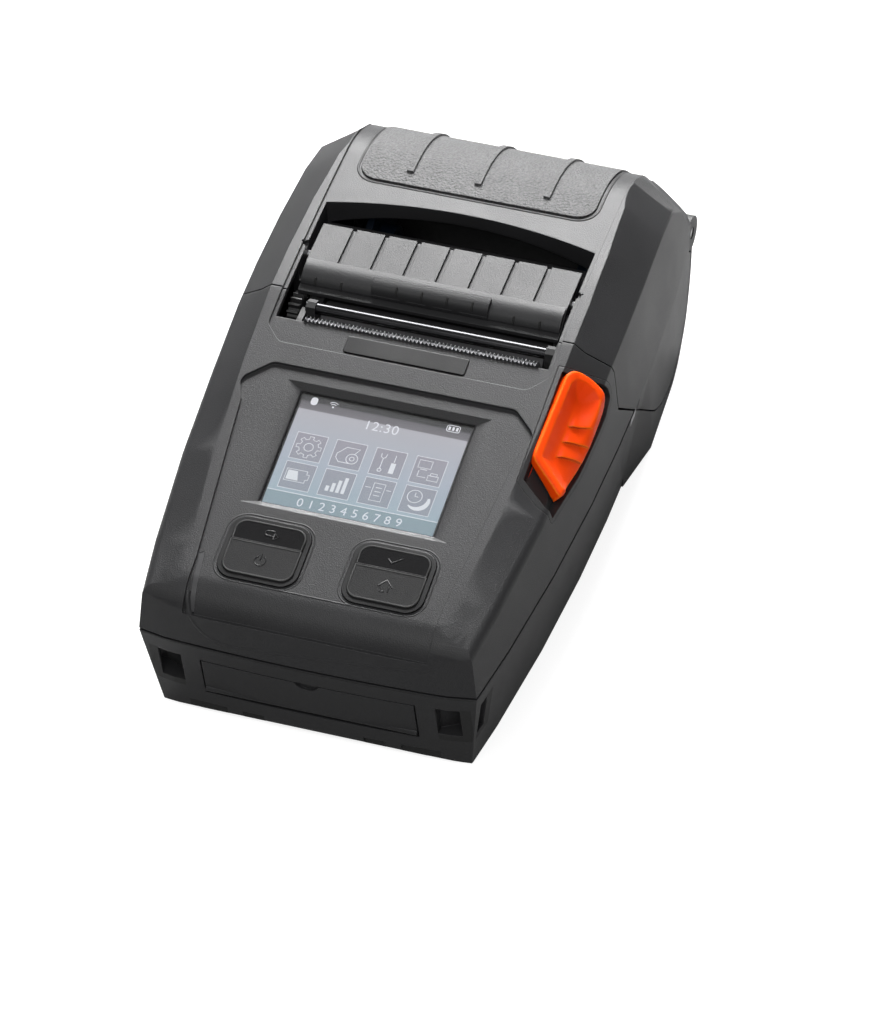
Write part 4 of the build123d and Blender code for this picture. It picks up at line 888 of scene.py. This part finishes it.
side, corner, front = gripLip["halfWidth"], gripLip["corner"], gripLip["frontY"]
sideParts, frontParts = gripLip["sideParts"], gripLip["frontParts"]
sideRun = [front + corner + (gripLip["rearY"] - front - corner) * i / sideParts for i in range(sideParts + 1)]
lipRun = [(-side, y) for y in reversed(sideRun)]
lipRun += arc(-side + corner, front + corner, corner, 180, 270, 8)[1:]
lipRun += [(-side + corner + 2 * (side - corner) * i / frontParts, front) for i in range(1, frontParts)]
lipRun += arc(side - corner, front + corner, corner, 270, 360, 8)
lipRun += [(side, y) for y in sideRun[1:]]
lipLine = [lipPoint(x, y) for x, y in lipRun]
strokes("grip_lip", [(lipLine, False)], gripLip["radius"], "cover", finishes["shellBlack"])
print("stage: crest and lip made")


# flat shapes just under the window, for the lit picture
def flatPiece(name, outlines, above, material):
    work = bmesh.new()
    for outline in outlines:
        work.faces.new([work.verts.new(onFace(u, v, above)) for u, v in outline])
    return addPiece(name, meshFrom(work, name), "body", material)


def rectangle(u, v, width, height):
    return [(u + width * cu / 2, v + height * cv / 2) for cu, cv in ((-1, -1), (1, -1), (1, 1), (-1, 1))]


def shifted(points, spot):
    return [(u + spot[0], v + spot[1]) for u, v in points]


def gearLine(teeth, inner, outer):
    points = []
    for i in range(teeth):
        for share, reach in ((-0.26, inner), (-0.2, outer), (0.2, outer), (0.26, inner)):
            angle = 2 * math.pi * (i + share) / teeth
            points.append((reach * math.cos(angle), reach * math.sin(angle)))
    return points


width, height, depth = pictureLook["width"], pictureLook["height"], pictureLook["depth"]
rows, layer = pictureLook["rows"], pictureLook["layer"]
sheets = [rectangle(0, height * ((i + 0.5) / rows - 0.5), width, height / rows) for i in range(rows)]
flatPiece("display_picture", sheets, -depth, finishes["picture"])

# plain pictures on two rows of tiles, each in millimetres from its tile's middle
tiles = {
    "columns": (-16.2, -5.7, 4.9, 15.6), "rows": (1.65, -7.5), "size": 8.1, "line": 0.1,
    "barU": -12.65, "statusV": 15.65, "waveU": -14.0,
}
tileSpots = [(u, v) for v in tiles["rows"] for u in tiles["columns"]]
tileBoxes = [rectangle(u, v, tiles["size"], tiles["size"]) for u, v in tileSpots]
flatPiece("display_tiles", tileBoxes, layer - depth, finishes["tileGlow"])
gearSpot, rollSpot, toolSpot, linkSpot, powerSpot, barsSpot, pageSpot, nightSpot = tileSpots
closedLines = [
    (gearSpot, gearLine(8, 2.5, 3.3)),
    (gearSpot, arc(0, 0, 1.2, 0, 345, 20)),
    (rollSpot, arc(1.3, -0.9, 1.5, 0, 345, 22)),
    (rollSpot, arc(1.3, -0.9, 0.6, 0, 345, 14)),
    (toolSpot, arc(-1.6, -2.4, 0.5, 0, 345, 12)),
    (linkSpot, rectangle(-1.3, 1.9, 3.4, 2.3)),
    (linkSpot, rectangle(1.7, -1.9, 2.7, 1.5)),
    (linkSpot, rectangle(1.7, -0.8, 1.7, 0.8)),
    (powerSpot, [
        (-3.2, -1.7), (2.2, -1.7), (2.2, -0.7), (2.9, -0.7), (2.9, 0.9), (2.2, 0.9), (2.2, 1.9), (-3.2, 1.9),
    ]),
    (pageSpot, [(-1.4, -2.6), (-1.4, 2.7), (1.6, 2.7), (1.6, -2.6)]),
    (nightSpot, arc(-1.0, 1.1, 1.9, 0, 345, 24)),
    ((0, 0), roundedLoop(17.9, tiles["statusV"], 3.4, 1.9, 0.5, 3)),
]
openLines = [
    (rollSpot, [(1.3, -2.4), (-1.9, -2.4), (-2.9, -1.2), (-2.9, 0.0), (-0.9, 2.3), (2.6, 2.3), (1.6, 0.6)]),
    (toolSpot, [(-1.6, -2.0), (-1.6, 1.2)]),
    (toolSpot, [(-2.3, 2.6), (-2.2, 1.6), (-1.6, 1.2), (-1.0, 1.6), (-0.9, 2.6)]),
    (toolSpot, [(1.5, 0.6), (1.5, 2.7)]),
    (linkSpot, [(-2.2, 0.3), (-0.4, 0.3)]),
    (linkSpot, [(-2.4, -0.2), (-2.4, -2.0), (-0.2, -2.0)]),
    (pageSpot, [(-0.7, 1.4), (0.9, 1.4)]),
    (pageSpot, [(-0.7, 0.2), (0.9, 0.2)]),
    (pageSpot, [(-0.7, -1.0), (0.9, -1.0)]),
    (pageSpot, [(-3.4, 1.1), (-2.0, 1.1)]),
    (pageSpot, [(2.2, 1.1), (3.4, 1.1)]),
    (nightSpot, [(-1.0, 2.2), (-1.0, 1.1), (-0.1, 1.1)]),
    ((0, 0), [(-22.5, tiles["barU"]), (22.5, tiles["barU"])]),
    ((tiles["waveU"], 14.9), arc(0, 0, 1.5, 45, 135, 8)),
    ((tiles["waveU"], 14.9), arc(0, 0, 0.9, 45, 135, 8)),
]
lines = [(outline, True) for outline in tileBoxes]
lines += [(shifted(points, spot), True) for spot, points in closedLines]
lines += [(shifted(points, spot), False) for spot, points in openLines]
markAbove = 2 * layer - depth
faceStrokes("display_lines", lines, markAbove, tiles["line"], "body", finishes["markGlow"], rounds=1)
moon = arc(0.3, 0.0, 3.0, -140, 25, 18) + arc(-0.5, 0.9, 2.9, 5, -120, 16)
solids = [
    shifted([(-2.8, -1.3), (0.4, -1.3), (-0.3, 1.5), (-2.8, 1.5)], powerSpot),
    shifted(rectangle(1.5, -1.3, 1.3, 3.2), toolSpot),
    shifted(moon, nightSpot),
    rectangle(tiles["waveU"], 14.9, 0.5, 0.5),
    roundedLoop(-19.2, 15.6, 1.8, 2.4, 0.8, 4),
]
solids += [rectangle(u, tiles["statusV"], 0.6, 1.1) for u in (16.9, 17.9, 18.9)]
for i, tall in enumerate((1.6, 2.7, 3.8, 4.9)):
    solids.append(shifted(rectangle(-2.1 + 1.4 * i, -2.5 + tall / 2, 0.9, tall), barsSpot))
flatPiece("display_solids", solids, markAbove, finishes["markGlow"])


def faceNumbers(name, words, size, u, v, stretch):  # plain numbers only
    text = bpy.data.curves.new(name, "FONT")
    text.body = words
    text.size = size / 1000
    text.align_x, text.align_y = "CENTER", "CENTER"
    text.space_character = stretch
    drawn = bpy.data.objects.new(name + "Text", text)
    collection.objects.link(drawn)
    spot = onFace(u, v, markAbove)
    drawn.matrix_world = Matrix((
        (1, 0, 0, spot.x),
        (0, faceUp.y, faceOut.y, spot.y),
        (0, faceUp.z, faceOut.z, spot.z),
        (0, 0, 0, 1),
    ))
    mesh = finalMesh(drawn)
    mesh.transform(drawn.matrix_world)
    bpy.data.objects.remove(drawn)
    return addPiece(name, mesh, "body", finishes["markGlow"])


faceNumbers("display_clock", "12:30", 3.9, 0.0, 11.6, 1.08)
faceNumbers("display_count", "0 1 2 3 4 5 6 7 8 9", 3.5, 0.0, -15.1, 1.05)


def closeBetween(work, front, back):  # caps on two rings of corners, and the walls between them
    work.faces.new(front)
    work.faces.new(list(reversed(back)))
    for i in range(len(front)):
        k = (i + 1) % len(front)
        work.faces.new((front[k], front[i], back[i], back[k]))


# the window is a thin pane that leaves room for the picture below it
windowPane = {"width": 52.0, "height": 40.0, "top": -2.2, "thick": 0.7, "corner": 1.5}


def buildPane():
    work = bmesh.new()
    outline = roundedLoop(0, 0, windowPane["width"], windowPane["height"], windowPane["corner"])
    levels = (windowPane["top"], windowPane["top"] - windowPane["thick"])
    closeBetween(work, *([work.verts.new(onFace(u, v, above)) for u, v in outline] for above in levels))
    mesh = meshFrom(work, "window_pane")
    pane = addPiece("window_pane", mesh, "body", finishes["windowGlass"])
    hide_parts("display_window")


buildPane()
print("stage: display made")

# small slot with a pale strip under the cover's front corner, on the right side only; the slot is painted
# shade, a dark patch laid on the wall
sideSlot = {"front": 16.0, "split": 20.2, "rear": 23.6, "top": 27.7, "low": 24.9, "step": 0.4, "proud": 0.06}
# the base's side wall there: widest at middleY, bowed, and leaning in below the seam
sideWall = {"halfWidth": 52.4, "middleY": 10.0, "bow": 1272.0, "seamZ": 28.2, "lean": 0.1405, "sunk": 0.03}


def sidePatch(name, y0, y1, low, material):
    work = bmesh.new()
    rings = []
    for out in (sideSlot["proud"], 0.0):
        rings.append([])
        for y, z in ((y0, low), (y1, low), (y1, sideSlot["top"]), (y0, sideSlot["top"])):
            x = sideWall["halfWidth"] - (y - sideWall["middleY"]) ** 2 / sideWall["bow"]
            x += out - (sideWall["seamZ"] - z) * sideWall["lean"] - sideWall["sunk"]
            rings[-1].append(work.verts.new((x / 1000, y / 1000, z / 1000)))
    closeBetween(work, *rings)
    return addPiece(name, meshFrom(work, name), "body", material)


stripLow, slotShadeLow = sideSlot["low"], sideSlot["low"] + sideSlot["step"]
sidePatch("side_slot_strip", sideSlot["front"], sideSlot["split"], stripLow, finishes["stripPale"])
sidePatch("side_slot", sideSlot["split"], sideSlot["rear"], slotShadeLow, finishes["slotShadow"])
print("stage: side slot made")


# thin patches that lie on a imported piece
def castTree(nodeName):
    work = bmesh.new()
    work.from_mesh(nodes[nodeName].data)
    work.transform(nodes[nodeName].matrix_world)
    tree = BVHTree.FromBMesh(work)
    work.free()
    return tree


# rays are rows of (start, direction), in millimetres
def laidPatch(name, rays, tree, proud, body, material):
    work = bmesh.new()
    rows = []
    for row in rays:
        rows.append([])
        for start, direction in row:
            spot, normal = tree.ray_cast(Vector(start) / 1000, Vector(direction))[:2]
            rows[-1].append(work.verts.new(spot + normal * proud / 1000))
    for first, second in zip(rows, rows[1:]):
        for i in range(len(first) - 1):
            work.faces.new((first[i], first[i + 1], second[i + 1], second[i]))
    return addPiece(name, meshFrom(work, name), body, material)


baseTree = castTree("base_shell")
rayFrom = {"front": -120, "side": 80}  # millimetres, clear of the base


def shadowPatch(name, span, levels, cuts, proud, side=0):  # from the front, or side -1 left and 1 right
    across, up = cuts
    rays = []
    for k in range(up + 1):
        z = levels[0] + (levels[1] - levels[0]) * k / up
        places = [span[0] + (span[1] - span[0]) * i / across for i in range(across + 1)]
        if side:
            rays.append([((side * rayFrom["side"], y, z), (-side, 0, 0)) for y in places])
        else:
            rays.append([((x, rayFrom["front"], z), (0, 1, 0)) for x in places])
    laidPatch(name, rays, baseTree, proud, "body", finishes["slotShadow"])


# painted shade of the slots under the door: dark patches laid on the base
frontSlots = {
    "centres": (-28.2, -16.1, 16.1, 28.2), "widths": (10.2, 5.7, 5.7, 10.2), "levels": (1.3, 3.9),
    "cuts": (8, 4), "proud": 0.04,
}
for number, (x, width) in enumerate(zip(frontSlots["centres"], frontSlots["widths"]), 1):
    span = (x - width / 2, x + width / 2)
    name = "front_slot_shade_" + str(number)
    shadowPatch(name, span, frontSlots["levels"], frontSlots["cuts"], frontSlots["proud"])

# painted shade of the gap at the seam: a dark line round the top of the base, as far back as the cover's rear
seam = {
    "levels": (27.25, 27.66), "proud": 0.015, "steps": 260, "from": 100, "sweep": 340,
    "rear": 84.0, "spine": 45.0, "halfLength": 92, "reach": 150,
}


def seamPair(turn):  # a low and a high ray towards the base's spine
    way = Vector((-math.cos(turn), -math.sin(turn), 0))
    y = max(-seam["spine"], min(seam["spine"], seam["halfLength"] * math.sin(turn)))
    return [(Vector((0, y, level)) - way * seam["reach"], way) for level in seam["levels"]]


seamRays = []
for i in range(seam["steps"] + 1):
    pair = seamPair(math.radians(seam["from"] + seam["sweep"] * i / seam["steps"]))
    spots = [baseTree.ray_cast(start / 1000, way)[0] for start, way in pair]
    if all(spot and spot.y * 1000 < seam["rear"] for spot in spots):
        seamRays.append(pair)
seamRows = list(zip(*seamRays))
laidPatch("seam_shade_line", seamRows, baseTree, seam["proud"], "body", finishes["slotShadow"])

# soft crease round the lower end of the front apron and up its right side
crease = {
    "radius": 1.0, "sink": 0.87, "parts": 8, "smoothings": 6,
    "spots": [
        (-31.2, -85.5, 41.5), (-30.7, -88.5, 38.9), (-29.2, -90.0, 35.2), (-26.2, -90.8, 32.2),
        (-21.0, -91.3, 30.5), (-12.0, -91.4, 31.2), (-0.9, -91.4, 32.35), (14.8, -91.0, 33.7),
        (26.5, -90.6, 34.6), (31.6, -90.2, 35.0), (34.4, -89.6, 37.0), (35.5, -88.9, 39.5),
    ],
}
caseTree = castTree("top_case")
creaseLine = []
for point, after in zip(crease["spots"], crease["spots"][1:]):
    for part in range(crease["parts"]):
        near = Vector(point).lerp(Vector(after), part / crease["parts"]) / 1000
        spot, normal = caseTree.find_nearest(near)[:2]
        creaseLine.append(spot - normal * crease["sink"] / 1000)
for turn in range(crease["smoothings"]):
    inner = [(a + b * 2 + c) / 4 for a, b, c in zip(creaseLine, creaseLine[1:], creaseLine[2:])]
    creaseLine = [creaseLine[0]] + inner + [creaseLine[-1]]
creaseStroke = [(creaseLine, False)]
strokes("apron_crease", creaseStroke, crease["radius"], "body", finishes["shellBlack"])
print("stage: slots, seam and crease made")

# painted shade of the strap pockets' insides, as dark patches round the pockets: each patch as (from, to)
# along the wall and (from, to) up it
pocketShade = {
    "front": (((39.9, 42.5), (9.6, 22.9)), ((33.6, 39.85), (9.6, 11.75))),
    "side": (((-82.3, -79.4), (9.6, 22.9)), ((-86.0, -82.35), (9.6, 11.75))),
    "proud": 0.03, "cuts": (4, 4),
}
for side, word in ((-1, "left"), (1, "right")):
    for number, (span, levels) in enumerate(pocketShade["front"], 1):
        name = "pocket_shade_" + word + "_front_" + str(number)
        shadowPatch(name, [side * x for x in span], levels, pocketShade["cuts"], pocketShade["proud"])
    for number, (span, levels) in enumerate(pocketShade["side"], 1):
        name = "pocket_shade_" + word + "_side_" + str(number)
        shadowPatch(name, span, levels, pocketShade["cuts"], pocketShade["proud"], side)

# painted shade of the gap round each key: a dark line round the top of each key
keyGapShade = {"radius": 0.34, "sink": 0.2, "level": 0.35, "upright": 0.97, "leastPoints": 6}


def topLoops(nodeName):  # outlines of a key's top face
    work = bmesh.new()
    work.from_mesh(nodes[nodeName].data)
    work.transform(nodes[nodeName].matrix_world)
    bmesh.ops.remove_doubles(work, verts=work.verts, dist=skinLook["joined"])
    work.normal_update()
    upright = [f for f in work.faces if f.normal.dot(faceOut) > keyGapShade["upright"]]
    heights = {f: f.calc_center_median().dot(faceOut) for f in upright}
    peak = max(heights.values())
    top = {f for f, height in heights.items() if peak - height < keyGapShade["level"] / 1000}
    edges = [e for e in work.edges if sum(f in top for f in e.link_faces) == 1]
    loops = []
    while edges:
        edge = edges.pop()
        loop, last = [edge.verts[0].co.copy()], edge.verts[1]
        while True:
            following = next((e for e in edges if last in e.verts), None)
            loop.append(last.co.copy())
            if following is None:
                break
            edges.remove(following)
            last = following.other_vert(last)
        closes = (loop[0] - loop[-1]).length < skinLook["joined"]
        loops.append(loop[:-1] if closes else loop)
    work.free()
    return [loop for loop in loops if len(loop) >= keyGapShade["leastPoints"]]


for word in ("left_upper", "left_lower", "right_upper", "right_lower"):
    nodeName = "key_" + word
    sink = faceOut * keyGapShade["sink"] / 1000
    lines = [([point - sink for point in loop], True) for loop in topLoops(nodeName)]
    body, slotName = bodyOf(nodeName), slotOf[nodeName]
    strokes(nodeName + "_edge_shade", lines, keyGapShade["radius"], body, finishes["slotShadow"])
print("stage: pockets and key edges made")

# smooth slope and raised lip of the flap's front, with short ticks; profiles as (y, z) in millimetres
flapFront = {
    "half": 34.9, "lipSpan": (-15.6, 15.8), "smooth": 50, "tick": 0.3,
    "slope": [
        (18.5, 60.42), (16.9, 60.5), (15.6, 60.35), (14.3, 59.9), (13.1, 59.2),
        (12.3, 58.3), (11.95, 57.4), (12.2, 56.95), (14.5, 57.2), (18.5, 59.2),
    ],
    "lip": [
        (15.4, 61.58), (14.2, 61.43), (13.2, 61.14), (12.5, 60.72), (12.05, 60.15),
        (11.8, 59.4), (11.72, 58.4), (11.75, 57.3), (13.5, 57.3), (15.4, 59.8),
    ],
    "slopeTicks": (-31.0, -24.0, 22.5, 29.5), "slopePoints": (4, 7),
    "lipTicks": (-8.9, -2.1, 4.7, 11.5), "lipPoints": (2, 6),
}
flapBody, flapSlot = bodyOf("peeler_flap"), slotOf["peeler_flap"]


def flapBar(name, profile, x0, x1):  # a closed bar with one profile
    work = bmesh.new()
    ends = [[work.verts.new((x / 1000, y / 1000, z / 1000)) for y, z in profile] for x in (x0, x1)]
    closeBetween(work, ends[1], ends[0])
    bmesh.ops.recalc_face_normals(work, faces=work.faces)
    mesh = meshFrom(work, name)
    smoothMesh(mesh, flapFront["smooth"])
    addPiece(name, mesh, flapBody, finishes["flapBlack"])


def tickLines(profile, span, places):  # one tick at each x, along a stretch of the profile
    return [([(x / 1000, y / 1000, z / 1000) for y, z in profile[slice(*span)]], False) for x in places]


flapBar("flap_slope", flapFront["slope"], -flapFront["half"], flapFront["half"])
flapBar("flap_lip", flapFront["lip"], *flapFront["lipSpan"])
ticks = tickLines(flapFront["slope"], flapFront["slopePoints"], flapFront["slopeTicks"])
ticks += tickLines(flapFront["lip"], flapFront["lipPoints"], flapFront["lipTicks"])
strokes("flap_ticks", ticks, flapFront["tick"], flapBody, finishes["slotShadow"])
print("stage: flap front made")

# camera at the photograph's angle: degrees, metres and millimetres of lens
camera = {
    "azimuth": 20.53, "elevation": 45.27, "roll": -3.34, "distance": 1.5606, "shift": (-0.031025, -0.055694),
    "frameBack": 0.0868, "lens": 217.59, "sensor": 36.0, "clip": (0.05, 20.0),
}


def buildCamera():
    azimuth, elevation, roll = (math.radians(camera[k]) for k in ("azimuth", "elevation", "roll"))
    level = math.cos(elevation)
    back = Vector((math.sin(azimuth) * level, -math.cos(azimuth) * level, math.sin(elevation)))
    right = Vector((math.cos(azimuth), math.sin(azimuth), 0))
    up = back.cross(right)
    rightRolled = right * math.cos(roll) + up * math.sin(roll)
    upRolled = up * math.cos(roll) - right * math.sin(roll)
    place = back * camera["distance"] - rightRolled * camera["shift"][0] - upRolled * camera["shift"][1]
    place.y -= camera["frameBack"]
    data = bpy.data.cameras.new("camera")
    data.lens, data.sensor_width = camera["lens"], camera["sensor"]
    data.clip_start, data.clip_end = camera["clip"]
    obj = bpy.data.objects.new("camera", data)
    collection.objects.link(obj)
    turned = Matrix((rightRolled, upRolled, back)).transposed().to_4x4()
    obj.matrix_world = Matrix.Translation(place) @ turned
    bpy.context.scene.camera = obj


buildCamera()

# floor, world and soft lamps
studio = {
    "floorColor": (0.4, 0.4, 0.4), "floorGlow": 0.8, "floorHalf": 4, "mirrorShare": 0.1,
    "worldFront": 0.24, "worldRear": 0.22, "worldFade": (-0.5, 0.6),
    "lamps": {
        "rearSoftbox": {
            "spot": (-0.14, 0.56, 0.48), "aim": (0, 0.03, 0.04), "size": (0.4, 0.3), "power": 14.0,
        },
        "frontSoftbox": {
            "spot": (0.1, -0.55, 0.85), "aim": (0, 0.0, 0.04), "size": (0.5, 0.5), "power": 4.6,
        },
    },
}


def seenByMirror(tree):  # 1 for the camera and through glass, a share of it for what mirrors
    path = addNode(tree, "LightPath")
    first = addNode(tree, "Math", {"operation": "MAXIMUM"})
    dimmed = addNode(tree, "Math", {"operation": "MULTIPLY"}, i1=studio["mirrorShare"])
    second = addNode(tree, "Math", {"operation": "MAXIMUM"})
    join(
        tree,
        (path.outputs["Is Camera Ray"], first.inputs[0]),
        (path.outputs["Is Transmission Ray"], first.inputs[1]),
        (path.outputs["Is Glossy Ray"], dimmed.inputs[0]),
        (first.outputs[0], second.inputs[0]),
        (dimmed.outputs[0], second.inputs[1]),
    )
    return second.outputs[0]


def buildFloor():
    half = studio["floorHalf"]
    mesh = bpy.data.meshes.new("floor")
    corners = [(-half, -half, 0), (half, -half, 0), (half, half, 0), (-half, half, 0)]
    mesh.from_pydata(corners, [], [(0, 1, 2, 3)])
    floor = bpy.data.objects.new("floor", mesh)
    collection.objects.link(floor)
    mat, tree, shader = newMaterial("floorWhite", {
        "Base Color": (*studio["floorColor"], 1), "Roughness": 0.7, "Specular IOR Level": 0.1,
        "Emission Color": (1, 1, 1, 1),
    })
    glow = addNode(tree, "Math", {"operation": "MULTIPLY"}, i1=studio["floorGlow"])
    join(tree, (seenByMirror(tree), glow.inputs[0]), (glow.outputs[0], shader.inputs["Emission Strength"]))
    mesh.materials.append(mat)


def buildWorld():
    world = bpy.data.worlds.new("studio")
    bpy.context.scene.world = world
    world.use_nodes = True
    tree = world.node_tree
    sky = tree.nodes["Background"]
    sky.inputs["Color"].default_value = (1, 1, 1, 1)
    direction = addNode(tree, "TexCoord")
    parts = addNode(tree, "SeparateXYZ")
    mixed = addNode(tree, "Mix")
    mixed.inputs[3].default_value = 1.0
    join(tree, (direction.outputs["Generated"], parts.inputs[0]))
    level = spread(tree, parts.outputs[1], *studio["worldFade"], studio["worldFront"], studio["worldRear"])
    join(tree, (level, mixed.inputs[2]), (seenByMirror(tree), mixed.inputs[0]))
    join(tree, (mixed.outputs[0], sky.inputs["Strength"]))


def buildLamp(name, lamp):
    data = bpy.data.lights.new(name, "AREA")
    data.shape = "RECTANGLE"
    data.size, data.size_y = lamp["size"]
    data.energy = lamp["power"]
    obj = bpy.data.objects.new(name, data)
    collection.objects.link(obj)
    obj.location = lamp["spot"]
    obj.rotation_euler = (Vector(lamp["aim"]) - Vector(lamp["spot"])).to_track_quat("-Z", "Y").to_euler()


buildFloor()
buildWorld()
for name, lamp in studio["lamps"].items():
    buildLamp(name, lamp)
bpy.context.scene.view_settings.view_transform = "Standard"
print("stage: camera, floor and lamps made")
